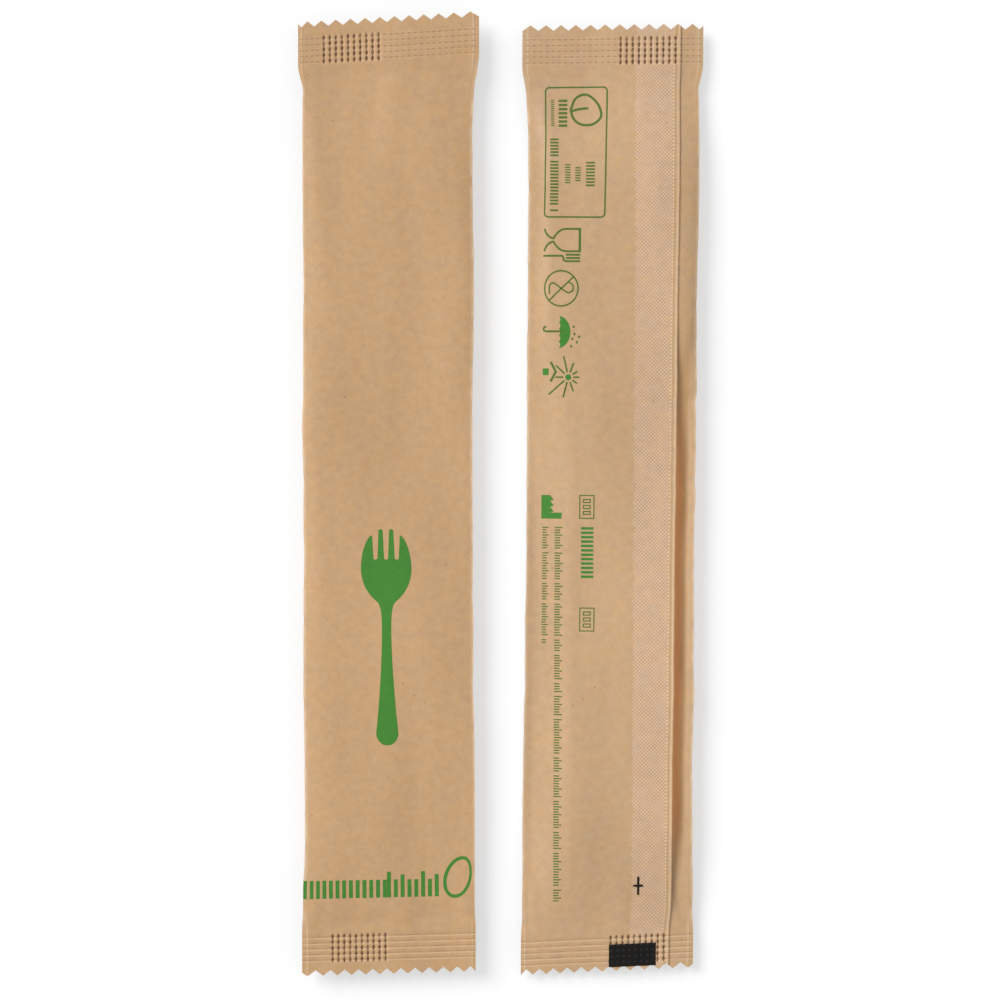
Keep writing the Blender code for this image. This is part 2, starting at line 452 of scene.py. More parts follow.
    def tooth_inset(self, s: Array, end: End) -> Array:
        """Distance from the line of the tooth tips to the cut.

        Args:
            s: Places across the flat tube.
            end: The end that is cut.

        Returns:
            The distances.
        """
        first = self.first_tooth + (0 if end is End.TOP else 0.5)
        turns = (s + self.flat_half) / self.tooth_pitch - first
        return self.tooth_depth * (1 - np.abs(2 * (turns - np.floor(turns)) - 1))

    def front(self, s: Array, t: Array) -> Array:
        """Height of the front panel in the sachet's own frame, where it is negative.

        Args:
            s: Places across the flat tube.
            t: Places along it.

        Returns:
            The heights.
        """
        if self.back_up:
            return -self.lower_panel(s, t)
        return self.dented(s, t) - self.upper_panel(s, t) - self.swell(s, t)

    def taut_back(self, s: Array, t: Array) -> Array:
        """Height of the back panel where nothing sags."""
        return self.upper_panel(s, t) + self.swell(s, t) if self.back_up else self.lower_panel(s, t)

    def back(self, s: Array, t: Array) -> Array:
        """Height of the back panel beside the fin."""
        taut = self.taut_back(s, t) + self.climb(s, t)
        return taut - self.sagging(s, t) - self.dented(s, t) if self.back_up else taut

    def fin_sink(self, t: Array) -> Array:
        """How far the fin is pressed into its panel where the sachet lies on it."""
        return 0.0 * t if self.back_up else self.fin_stack * self.openness(t)

    def fin_gap(self, s: Array, t: Array) -> Array:
        """Gap below the fin.

        Args:
            s: Places across the flat tube.
            t: Places along it.

        Returns:
            The gaps.
        """
        share = np.clip((s - self.fin_root) / self.fin_width, 0, 1)
        lift = self.fin_lift * self.slack(t) if self.back_up else 0.0
        return self.fin_pressed_gap + lift * self.openness(t) * share**1.5

    def under_fin(self, s: Array, t: Array) -> Array:
        """Height of the fin's under side."""
        return self.taut_back(s, t) - self.fin_sink(t) + self.fin_gap(s, t)

    def over_fin(self, s: Array, t: Array) -> Array:
        """Height of the fin's outer side."""
        return self.under_fin(s, t) + self.two_layers


@dataclass(frozen=True)
class Emboss:
    """The marks of hot tools in the paper: the waffle of the seals and the knurl of the fin."""

    slot_pitch: float = 0.0012375
    slot_first: float = 0.0012431
    slot_count: int = 10
    slot_depth: float = 0.00020
    rib_depth: float = 0.00006
    knurl_pitch: float = 0.0007425
    knurl_depth: float = 0.00006
    knurl_start: float = 0.0048
    knurl_lean: float = -0.0054
    knurl_end: float = 0.0120
    knurl_soft: float = 0.0003
    fold_ridge: float = 0.00008
    fold_inset: float = 0.00095
    fold_width: float = 0.00018
    rim_inset: float = 0.00045
    rim_width: float = 0.00020
    rim_height: float = 0.00005

    def slots_span(self) -> Pair:
        """Where the strong waffle starts and ends across the flat tube."""
        first = self.slot_first - self.slot_pitch / 2
        return first, first + self.slot_count * self.slot_pitch

    def slots_zone(self, s: Array) -> Array:
        """1 where the seal is four layers thick and the waffle is strong, 0 elsewhere."""
        first, last = self.slots_span()
        return ((s > first) & (s < last)).astype(float)

    def press(self, tube: Tube, s: Array, t: Array) -> Array:
        """How far the jaws push the layers down at places in the seals.

        Args:
            tube: The form of the paper.
            s: Places across the flat tube.
            t: Places along it.

        Returns:
            The depths.
        """
        from_ribs = tube.ribs_edge - np.abs(t)
        inside = (from_ribs > 0) & (from_ribs < tube.rib_count * tube.rib_pitch)
        row = 0.5 - 0.5 * np.cos(2 * math.pi * from_ribs / tube.rib_pitch)
        column = 0.5 + 0.5 * np.cos(2 * math.pi * (s - self.slot_first) / self.slot_pitch)
        strong = self.slot_depth * column**2 * np.sqrt(row) * self.slots_zone(s)
        weak = self.rib_depth * (row * (0.6 + 0.4 * column) - 0.5)
        return inside * (strong + weak)

    def knurl(self, tube: Tube, s: Array, t: Array) -> Array:
        """Height of the diamond knurl on the fin.

        Args:
            tube: The form of the paper.
            s: Places across the flat tube.
            t: Places along it.

        Returns:
            The heights.
        """
        start = self.knurl_start + self.knurl_lean * t
        zone = ease((s - start) / self.knurl_soft) * ease((self.knurl_end - s) / self.knurl_soft)
        zone = zone * ease((tube.seal_edge - np.abs(t)) / tube.rib_pitch)
        turn = 2 * math.pi / self.knurl_pitch
        return self.knurl_depth * zone * np.cos(turn * s) * np.cos(turn * t)

    def seal_folds(self, tube: Tube, s: Array, t: Array) -> Array:
        """1 on the creases that the jaws press beside each side fold, 0 elsewhere."""
        line = tube.flat_half - self.fold_inset - np.abs(s)
        return hump(line, self.fold_width) * (1 - tube.openness(t) ** 0.5)

    def rim(self, tube: Tube, s: Array) -> Array:
        """1 on the raised rim of the fin's upper layer, 0 elsewhere."""
        return hump(s - (tube.fin_edge - self.rim_inset), self.rim_width)


@dataclass
class Grid:
    """The outline of every cross-section, as one loop of places round the tube and the fin.

    Attributes:
        s: Places of the loop across the flat tube.
        bands: The stretch of the outline that each place belongs to.
        t: Places of the loops along the sachet, one row for each loop.
    """

    s: Array
    bands: list[Band]
    t: Array

    def picks(self, band: Band) -> Array:
        """Indices in the loop of the places of one stretch."""
        return np.array([n for n, own in enumerate(self.bands) if own is band])


@dataclass
class PaperSkin:
    """The paper of one sachet as a closed mesh with its folds, fin, teeth and embossing.

    Attributes:
        tube: The form.
        emboss: The marks of the hot tools.
        top_parts: Places between two corners of the teeth on the panel that faces up.
        fin_parts: The same where the fin lies.
        rest_parts: The same on the panel that faces down.
        rows_per_rib: Loops in the length of one rib.
        plain_step: From loop to loop where no knurl is seen.
        margin_shares: Places of the loops outside the ribs, as shares of the margin.
        side_insets: Distances of more places from each side fold.
        tolerance: Least distance between two places.
    """

    tube: Tube
    emboss: Emboss
    name: str
    top_parts: int = 2
    fin_parts: int = 6
    rest_parts: int = 2
    rows_per_rib: int = 5
    plain_step: float = 0.00050
    margin_shares: tuple[float, ...] = (0.3, 0.6, 1.0)
    side_insets: tuple[float, ...] = (0.00015, 0.0004, 0.00078, 0.00112, 0.0015, 0.0019)
    tolerance: float = 0.00008

    def columns(self, low: float, high: float, parts: int) -> Array:
        """Places across the flat tube, at every corner of the teeth and between them.

        Args:
            low: First place.
            high: Last place.
            parts: Into how many parts the run between two corners is split.

        Returns:
            The places from low to high, both among them.
        """
        step = self.tube.tooth_pitch / 2 / parts
        first = self.tube.first_tooth * self.tube.tooth_pitch - self.tube.flat_half
        steps = np.arange(math.ceil((low - first) / step), math.floor((high - first) / step) + 1)
        places = first + steps * step
        sides = self.tube.flat_half - np.array(self.side_insets if parts > 1 else ())
        groups = (np.array([low, high]), places[steps % parts == 0], sides, -sides, places)
        places = keep_apart(groups, self.tolerance)
        return places[(places >= low) & (places <= high)]

    def panel_columns(self, fine: int, coarse: int) -> Array:
        """Places across a whole panel, close together where the fin's layers shape the seals.

        Args:
            fine: Parts between two corners of the teeth beside the fin's root and edge.
            coarse: The same on the rest of the panel.

        Returns:
            The places, from left to right.
        """
        tube = self.tube
        left = self.columns(-tube.flat_half, tube.fin_root, coarse)
        middle = self.columns(tube.fin_root, tube.fin_edge, fine)
        right = self.columns(tube.fin_edge, tube.flat_half, coarse)
        return np.concatenate([left, middle[1:], right[1:]])

    def rows(self) -> tuple[Array, Array]:
        """Places of the loops along the sachet.

        Returns:
            Their distances from the middle, and the share of the margin that each adds.
        """
        tube = self.tube
        rib_rows = tube.rib_count * self.rows_per_rib
        seal = tube.seal_edge + np.arange(rib_rows + 1) * tube.rib_pitch / self.rows_per_rib
        step = self.emboss.knurl_pitch / 2 if tube.back_up else self.plain_step
        body = round(tube.seal_edge / step)
        half = np.concatenate([np.arange(1, body) * tube.seal_edge / body, seal])
        shares = np.array(self.margin_shares)
        t = np.concatenate([half, np.full(len(shares), tube.ribs_edge)])
        share = np.concatenate([np.zeros(len(half)), shares])
        return np.concatenate([-t[::-1], [0], t]), np.concatenate([share[::-1], [0], share])

    def grid(self) -> Grid:
        """The places of every loop.

        Returns:
            The loops.
        """
        tube = self.tube
        front_parts, back_parts, front_fine = self.top_parts, self.rest_parts, self.fin_parts
        if tube.back_up:
            front_parts, back_parts, front_fine = self.rest_parts, self.top_parts, self.rest_parts
        right = self.columns(tube.fin_edge, tube.flat_half, back_parts)
        under = self.columns(tube.fin_root, tube.fin_edge, 1)
        stretches = {
            Band.FRONT: self.panel_columns(front_fine, front_parts),
            Band.BACK_RIGHT: np.concatenate([right[:0:-1], under[::-1]]),
            Band.UNDER: under[1:],
            Band.OVER: self.columns(tube.fin_root, tube.fin_edge, self.fin_parts)[::-1],
            Band.BACK_LEFT: self.columns(-tube.flat_half, tube.fin_root, back_parts)[-2::-1],
        }
        s = np.concatenate(list(stretches.values()))
        bands = [band for band, places in stretches.items() for _ in places]
        distance, share = self.rows()
        t = np.repeat(distance[:, None], len(s), axis=1)
        for end, margin in zip((End.BOTTOM, End.TOP), tube.knife.margins):
            rows = (np.sign(distance) == end.value) & (share > 0)
            t[rows] += end.value * share[rows][:, None] * (margin - tube.tooth_inset(s, end))
        return Grid(s, bands, t)

    def height(self, band: Band, s: Array, t: Array) -> Array:
        """Height of the embossed paper in the sachet's own frame, on one stretch.

        Args:
            band: The stretch of the outline.
            s: Places across the flat tube.
            t: Places along it.

        Returns:
            The heights.
        """
        tube, emboss = self.tube, self.emboss
        surfaces = {Band.FRONT: tube.front, Band.UNDER: tube.under_fin, Band.OVER: tube.over_fin}
        z = surfaces.get(band, tube.back)(s, t)
        if band is Band.BACK_RIGHT:
            z = z - tube.fin_sink(t) * (s <= tube.fin_edge)
        if band is Band.OVER:
            z = z + emboss.rim(tube, s) * emboss.rim_height
            z = z + (emboss.knurl(tube, s, t) if tube.back_up else 0.0)
        if band not in (Band.UNDER, Band.OVER):
            outward = -1 if band is Band.FRONT else 1
            z = z + outward * emboss.fold_ridge * emboss.seal_folds(tube, s, t)
        return z + (-1 if tube.back_up else 1) * emboss.press(tube, s, t)

    def heights(self, grid: Grid) -> Array:
        """Height of every place of the grid.

        Args:
            grid: The loops' places.

        Returns:
            A height for each.
        """
        out = np.zeros_like(grid.t)
        for band in Band:
            picks = grid.picks(band)
            out[:, picks] = self.height(band, grid.s[picks], grid.t[:, picks])
        return out

    @staticmethod
    def caps(grid: Grid, start: int) -> list[tuple[int, ...]]:
        """Faces that close one cut end of the paper, a strip that follows the zigzag.

        Args:
            grid: The loops' places.
            start: Index of the loop's first vertex.

        Returns:
            Triangles, as indices of vertices.
        """
        front, right, under, over, left = (grid.picks(band) for band in Band)
        tube_top = np.concatenate([left[::-1], over[-1:], right[::-1]])
        fin_bottom = np.concatenate([right[-1:], under])
        triangles = zip_strip(front, tube_top, grid.s) + zip_strip(fin_bottom, over[::-1], grid.s)
        return [tuple(start + n for n in triangle) for triangle in triangles]

    def build(self) -> Piece:
        """The skin as an object in the sachet's own frame.

        Returns:
            The object.
        """
        grid = self.grid()
        x, y = self.tube.across(grid.s, grid.t), self.tube.along(grid.s, grid.t)
        points = np.stack([x, y, self.heights(grid)], axis=-1)
        rows, columns = grid.t.shape
        faces, slots = [], []
        for row in range(rows - 1):
            low, high = row * columns, (row + 1) * columns
            for n in range(columns):
                after = (n + 1) % columns
                faces.append((low + n, low + after, high + after, high + n))
                slots.append(int(grid.bands[n] is Band.OVER and grid.bands[after] is Band.OVER))
        for start in (0, (rows - 1) * columns):
            cap = self.caps(grid, start)
            faces += cap
            slots += [0] * len(cap)
        mesh = bpy.data.meshes.new(self.name)
        mesh.from_pydata(points.reshape(-1, 3).tolist(), [], faces)
        mesh.polygons.foreach_set("material_index", slots)
        sheet = np.stack([np.broadcast_to(grid.s, grid.t.shape), grid.t], axis=-1).reshape(-1, 2)
        write_sheet_map(mesh, sheet)
        write_mask(mesh, CREASE_AND_SHEEN_MASK, self.creases_and_sheen(grid).ravel())
        turn_faces_out(mesh)
        mesh.shade_smooth()
        mesh.set_sharp_from_angle(angle=SHARP)
        return link_object(self.name, mesh)

    def creases_and_sheen(self, grid: Grid) -> Array:
        """How pale the paper is at every place of the side folds: partly creased paper, partly a painted
        highlight on the folds' rims.

        Args:
            grid: The loops' places.

        Returns:
            A number from 0 to 1 for each.
        """
        uneven = 0.65 + sum(wave.at(grid.s, grid.t) / wave.height for wave in self.tube.fold_waves) * 0.18
        folds = hump(self.tube.flat_half - np.abs(grid.s), 0.0005) * uneven
        return np.clip(folds * self.tube.openness(grid.t) ** 0.3, 0, 1)


def keep_apart(groups: Iterable[Array], least: float) -> Array:
    """The places of all groups in order, less those that come too near one of an earlier group.

    Args:
        groups: Groups of places, those to keep first.
        least: Smallest distance between two.

    Returns:
        The places that are kept.
    """
    kept = np.empty(0)
    for group in groups:
        gaps = np.abs(group[:, None] - kept[None, :]).min(axis=1, initial=math.inf)
        kept = np.sort(np.concatenate([kept, group[gaps > least]]))
    return kept


def zip_strip(lower: Array, upper: Array, s: Array) -> list[tuple[int, ...]]:
    """Triangles between two rows of vertices that run side by side.

    Args:
        lower: Indices of the lower row, from left to right.
        upper: Indices of the upper row, from left to right.
        s: Place of each vertex across.

    Returns:
        The triangles' indices.
    """
    triangles, a, b = [], 0, 0
    while a < len(lower) - 1 or b < len(upper) - 1:
        step_lower = b == len(upper) - 1 or (a < len(lower) - 1 and s[lower[a + 1]] <= s[upper[b + 1]])
        corner = lower[a + 1] if step_lower else upper[b + 1]
        triangles.append((int(lower[a]), int(corner), int(upper[b])))
        a, b = (a + 1, b) if step_lower else (a, b + 1)
    return triangles


def write_sheet_map(mesh: Mesh, sheet: Array) -> None:
    """Stores each vertex's place on the flat paper as the mesh's sheet map.

    Args:
        mesh: The mesh.
        sheet: Each vertex's s and t.
    """
    corners = np.zeros(len(mesh.loops), dtype=np.int32)
    mesh.loops.foreach_get("vertex_index", corners)
    mesh.uv_layers.new(name=SHEET_MAP).data.foreach_set("uv", sheet[corners].astype(np.float32).ravel())


def write_mask(mesh: Mesh, name: str, values: Array) -> None:
    """Stores a number for each vertex."""
    mesh.attributes.new(name, "FLOAT", "POINT").data.foreach_set("value", values.astype(np.float32))


def turn_faces_out(mesh: Mesh) -> None:
    """Makes a closed mesh's faces point outwards.

    Args:
        mesh: The mesh.
    """
    bm = bmesh.new()
    bm.from_mesh(mesh)
    bmesh.ops.recalc_face_normals(bm, faces=bm.faces)
    bm.to_mesh(mesh)
    bm.free()


def link_object(name: str, data: bpy.types.ID) -> Piece:
    """Adds an object to the scene.

    Args:
        name: Its name.
        data: Its mesh, camera or lamp.

    Returns:
        The object.
    """
    made = bpy.data.objects.new(name, data)
    bpy.context.scene.collection.objects.link(made)
    return made


class Figure:
    """Flat outlines for the printer. Each is a list of rings: one outline, then its holes."""

    ARC_STEP = math.radians(12)

    @classmethod
    def arc(cls, centre: Point, radius: float, start: float, end: float) -> Ring:
        """Points along an arc between two angles.

        Args:
            centre: Its centre.
            radius: Its radius.
            start: Angle of its first point.
            end: Angle of its last point.

        Returns:
            The points.
        """
        count = max(2, round(abs(end - start) / cls.ARC_STEP) + 1)
        angles = np.linspace(start, end, count)
        return np.array(centre) + radius * np.stack([np.cos(angles), np.sin(angles)], axis=-1)

    @classmethod
    def disc(cls, centre: Point, radius: float) -> Rings:
        """A filled circle."""
        return [cls.arc(centre, radius, 0, 2 * math.pi)[:-1]]

    @classmethod
    def ring(cls, centre: Point, radius: float, line: float) -> Rings:
        """A circle drawn with a line whose outer edge has the radius."""
        return cls.disc(centre, radius) + cls.disc(centre, radius - line)

    @classmethod
    def block(cls, low: Point, high: Point, corner: float = 0.0) -> Rings:
        """A filled rectangle, with round corners if their radius is given.

        Args:
            low: Its lower left corner.
            high: Its upper right corner.
            corner: Radius of its corners.

        Returns:
            Its outline.
        """
        (x0, y0), (x1, y1) = low, high
        if not corner:
            return [np.array([(x0, y0), (x1, y0), (x1, y1), (x0, y1)])]
        left, right, bottom, top = x0 + corner, x1 - corner, y0 + corner, y1 - corner
        centres = ((right, top), (left, top), (left, bottom), (right, bottom))
        turns = (n * math.pi / 2 for n in range(4))
        return [np.concatenate([cls.arc(c, corner, a, a + math.pi / 2) for c, a in zip(centres, turns)])]

    @classmethod
    def outline(cls, low: Point, high: Point, line: float, corner: float) -> Rings:
        """A rectangle drawn with a line inside its edges.

        Args:
            low: Its lower left corner.
            high: Its upper right corner.
            line: Width of the line.
            corner: Radius of its corners.

        Returns:
            Its outline and its hole.
        """
        (x0, y0), (x1, y1) = low, high
        inner = cls.block((x0 + line, y0 + line), (x1 - line, y1 - line), max(corner - line, 0))
        return cls.block(low, high, corner) + inner

    @staticmethod
    def stroke(path: Sequence[Point], line: float) -> Rings:
        """A line of even width drawn along a path, with pointed corners.

        Args:
            path: Points of its centre line.
            line: Its width.

        Returns:
            Its outline.
        """
        path = np.asarray(path, float)
        runs = np.diff(path, axis=0)
        runs /= np.linalg.norm(runs, axis=1)[:, None]
        before, after = np.vstack([runs[:1], runs]), np.vstack([runs, runs[-1:]])
        turn = (before + after) / (1 + np.sum(before * after, axis=1))[:, None]
        side = np.stack([-turn[:, 1], turn[:, 0]], axis=-1) * line / 2
        return [np.concatenate([path + side, (path - side)[::-1]])]

    @staticmethod
    def smooth(points: Sequence[Point], parts: int = 5) -> Ring:
        """Points along a smooth curve through the given points.

        Args:
            points: Where the curve passes, in order.
            parts: Steps between two of them.

        Returns:
            The curve's points, both ends among them.
        """
        given = np.asarray(points, float)
        given = np.vstack([2 * given[0] - given[1], given, 2 * given[-1] - given[-2]])
        share = np.linspace(0, 1, parts, endpoint=False)[:, None]
        runs = []
        for a, b, c, d in zip(given, given[1:], given[2:], given[3:]):
            bend, twist = a - 2.5 * b + 2 * c - d / 2, (3 * (b - c) + d - a) / 2
            runs.append(b + share * (c - a) / 2 + share**2 * bend + share**3 * twist)
        return np.vstack([*runs, given[-2:-1]])


@dataclass(frozen=True)
class Printer:
    """Lays flat outlines on a sachet's paper as thin films of ink.

    Attributes:
        tube: The form of the paper.
        side: The panel that is printed.
        film: Height of the ink above the paper.
        root: Depth of the film's under side in the paper.
        mesh_size: Longest run of a film's facets.
    """

    tube: Tube
    side: Side
    film: float = 0.000022
    root: float = 0.00001
    mesh_size: float = 0.0009

    def surface(self, s: Array, t: Array, lift: float) -> Array:
        """Points over places of the paper.

        Args:
            s: Places across the flat tube.
            t: Places along it.
            lift: Height above the paper.

        Returns:
            Their coordinates in the sachet's own frame.
        """
        tube = self.tube
        if self.side is Side.FRONT:
            z = tube.front(s, t) - lift
        else:
            on_fin = (s > tube.fin_root) & (s <= tube.fin_edge)
            z = np.where(on_fin, tube.over_fin(s, t), tube.back(s, t)) + lift
        return np.stack([tube.across(s, t), tube.along(s, t), z], axis=-1)

    def flat_mesh(self, rings: Iterable[Ring]) -> tuple[Array, Array]:
        """Triangles that fill an outline, with points inside it so that it can follow the paper.

        Args:
            rings: The outline and its holes.

        Returns:
            The points and the triangles.
        """
        rings = [split_long_runs(ring, self.mesh_size) for ring in rings]
        corners = np.concatenate(rings)
        edges, start = [], 0
        for ring in rings:
            edges += [(start + n, start + (n + 1) % len(ring)) for n in range(len(ring))]
            start += len(ring)
        low, high = corners.min(axis=0), corners.max(axis=0)
        lines = [np.arange(a + self.mesh_size / 2, b, self.mesh_size) for a, b in zip(low, high)]
        fill = np.stack(np.meshgrid(*lines), axis=-1).reshape(-1, 2)
        fill = fill[inside_rings(fill, rings)]
        fill = [p for p in fill if np.min(np.linalg.norm(corners - p, axis=1)) > self.mesh_size * 0.35]
        points = [Vector(p) for p in corners] + [Vector(p) for p in fill]
        found = delaunay_2d_cdt(points, edges, [], 0, 1e-9)
        flat = np.array([tuple(p) for p in found[0]])
        triangles = np.array([face for face in found[2] if len(face) == 3])
        keep = inside_rings(flat[triangles].mean(axis=1), rings)
        return flat, triangles[keep]

    def lay(self, name: str, figures: Iterable[Rings], ink: Material) -> Piece:
        """Prints figures as one piece.

        Args:
            name: Name of the piece.
            figures: The outlines, in s and t as seen from inside the tube's own frame.
            ink: Its material.

        Returns:
            The piece, in the sachet's own frame.
        """
        points, faces, sheet, total = [], [], [], 0
        for rings in figures:
            flat, triangles = self.flat_mesh(rings)
            used, triangles = np.unique(triangles, return_inverse=True)
            triangles = triangles.reshape(-1, 3)
            s, t = flat[used].T
            count = len(used)
            points += [self.surface(s, t, self.film), self.surface(s, t, -self.root)]
            sheet += [flat[used]] * 2
            faces += (triangles + total).tolist()
            faces += (triangles[:, ::-1] + total + count).tolist()
            faces += [
                (a + total, b + total, b + total + count, a + total + count)
                for a, b in open_edges(triangles)
            ]
            total += 2 * count
        return film_object(name, np.concatenate(points), faces, np.concatenate(sheet), ink)


def split_long_runs(ring: Ring, longest: float) -> Ring:
    """A ring with points added so that no run between two is too long.

    Args:
        ring: The ring.
        longest: Longest run between two points.

    Returns:
        The finer ring.
    """
    out = []
    for here, after in zip(ring, np.roll(ring, -1, axis=0)):
        count = max(1, math.ceil(np.linalg.norm(after - here) / longest))
        out += [here + (after - here) * n / count for n in range(count)]
    return np.array(out)


def inside_rings(points: Array, rings: Iterable[Ring]) -> Array:
    """Which points lie inside an odd number of rings.

    Args:
        points: The points.
        rings: An outline and its holes.

    Returns:
        True for each that does.
    """
    inside = np.zeros(len(points), bool)
    x, y = points[:, 0], points[:, 1]
    for ring in rings:
        for (x0, y0), (x1, y1) in zip(ring, np.roll(ring, -1, axis=0)):
            if y0 == y1:
                continue
            crosses = (y0 > y) != (y1 > y)
            inside ^= crosses & (x < x0 + (y - y0) * (x1 - x0) / (y1 - y0))
    return inside


def open_edges(faces: Iterable[Sequence[int]]) -> list[tuple[int, int]]:
    """Edges that only one face has, in that face's order."""
    edges = {(int(f[n]), int(f[(n + 1) % len(f)])) for f in faces for n in range(len(f))}
    return [edge for edge in edges if edge[::-1] not in edges]


def film_object(
    name: str, points: Array, faces: Sequence[Sequence[int]], sheet: Array, ink: Material
) -> Piece:
    """A closed film of ink as an object.

    Args:
        name: Its name.
        points: Its vertices.
        faces: Its faces, as indices of vertices.
        sheet: Place of each vertex on the flat paper.
        ink: Its material.

    Returns:
        The object.
    """
    mesh = bpy.data.meshes.new(name)
    mesh.from_pydata(points.tolist(), [], faces)
    write_sheet_map(mesh, sheet)
    turn_faces_out(mesh)
    mesh.shade_smooth()
    mesh.set_sharp_from_angle(angle=SHARP)
    mesh.materials.append(ink)
    return link_object(name, mesh)


class NodeSheet:
    """Places nodes in a tree and joins them, so that finishes read as formulas."""

    def __init__(self, tree: bpy.types.NodeTree) -> None:
        """Works on one tree."""
        self.tree = tree

    def node(self, kind: str, inputs: Optional[dict] = None, **settings: Any) -> bpy.types.Node:
        """Adds a node.

        Args:
            kind: Its type name.
            inputs: Values or sockets for its inputs, by name or number.
            settings: Its properties.

        Returns:
            The node.
        """
        made = self.tree.nodes.new(kind)
        for key, value in settings.items():
            setattr(made, key, value)
        for key, value in (inputs or {}).items():
            self.give(made.inputs[key], value)
        return made

    def group(self, tree: bpy.types.NodeTree, inputs: dict) -> Mapping[str, Socket]:
        """Adds a node group and gives its results by name."""
        return self.node("ShaderNodeGroup", inputs, node_tree=tree).outputs

    def give(self, socket: Socket, value: Value) -> None:
        """Joins a socket to another or gives it a value.

        Args:
            socket: The input.
            value: The other socket or the value.
        """
        if isinstance(value, Socket):
            self.tree.links.new(value, socket)
        else:
            socket.default_value = value

    def math(self, operation: str, *values: Value) -> Socket:
        """The result of a Math node."""
        return self.node("ShaderNodeMath", dict(enumerate(values)), operation=operation).outputs[0]

    def times(self, first: Value, *factors: Value) -> Socket:
        """The product of values."""
        return reduce(partial(self.math, "MULTIPLY"), factors, first)

    def plus(self, first: Value, second: Value) -> Socket:
        """The sum of two values."""
        return self.math("ADD", first, second)

    def minus(self, first: Value, second: Value) -> Socket:
        """The first value less the second."""
        return self.math("SUBTRACT", first, second)

    def ramp(
        self, value: Value, low: float, high: float, out_low: float = 0.0, out_high: float = 1.0
    ) -> Socket:
        """A smooth step between two values of the input.

        Args:
            value: The input.
            low: Where the step starts.
            high: Where it ends.
            out_low: The result before it.
            out_high: The result after it.

        Returns:
            The result's socket.
        """
        made = self.node(
            "ShaderNodeMapRange",
            {"Value": value, "From Min": low, "From Max": high, "To Min": out_low, "To Max": out_high},
            interpolation_type="SMOOTHSTEP",
        )
        return made.outputs["Result"]

    def off_centre(self, value: Value, pitch: float) -> Socket:
        """Distance from the nearest multiple of a pitch, as a share of the pitch."""
        turns = self.plus(self.math("DIVIDE", value, pitch), 0.5)
        return self.math("ABSOLUTE", self.minus(self.math("FRACT", turns), 0.5))

    def within(self, value: Value, low: float, high: float) -> Socket:
        """1 where a value lies between two others, 0 elsewhere."""
        above = self.math("GREATER_THAN", value, low)
        return self.times(above, self.math("LESS_THAN", value, high))

    def scaled(self, vector: Socket, factor: float) -> Socket:
        """A vector times a factor."""
        return self.node("ShaderNodeVectorMath", {0: vector, "Scale": factor}, operation="SCALE").outputs[0]

    def noise(self, vector: Socket, scale: float, detail: float = 2.0, roughness: float = 0.5) -> Socket:
        """A noise pattern's value.

        Args:
            vector: Where it is looked up.
            scale: Its scale.
            detail: Its finer layers.
            roughness: How strong they are.

        Returns:
            The value's socket.
        """
        made = self.node(
            "ShaderNodeTexNoise",
            {"Vector": vector, "Scale": scale, "Detail": detail, "Roughness": roughness},
        )
        return made.outputs["Fac"]

    def grey(self, value: Value) -> Socket:
        """A grey colour from a value."""
        return self.node("ShaderNodeCombineXYZ", {axis: value for axis in "XYZ"}).outputs["Vector"]

    def blend(self, share: Value, first: Tint, second: Tint, kind: str = "MIX") -> Socket:
        """Two colours mixed by a share.

        Args:
            share: Share of the second colour.
            first: The first colour.
            second: The second colour.
            kind: How they are mixed.

        Returns:
            The colour's socket.
        """
        made = self.node("ShaderNodeMix", data_type="RGBA", blend_type=kind)
        for key, value in ((0, share), (6, first), (7, second)):
            self.give(made.inputs[key], (*value, 1.0) if isinstance(value, tuple) else value)
        return made.outputs[2]


def new_group(name: str, inputs: dict[str, str], outputs: dict[str, str]) -> bpy.types.NodeTree:
    """An empty node group with named sockets.

    Args:
        name: Its name.
        inputs: Socket kinds by name, such as Float.
        outputs: The same for what it puts out.

    Returns:
        The group.
    """
    tree = bpy.data.node_groups.new(name, "ShaderNodeTree")
    for in_out, sockets in (("INPUT", inputs), ("OUTPUT", outputs)):
        for label, kind in sockets.items():
            tree.interface.new_socket(name=label, in_out=in_out, socket_type=f"NodeSocket{kind}")
    return tree


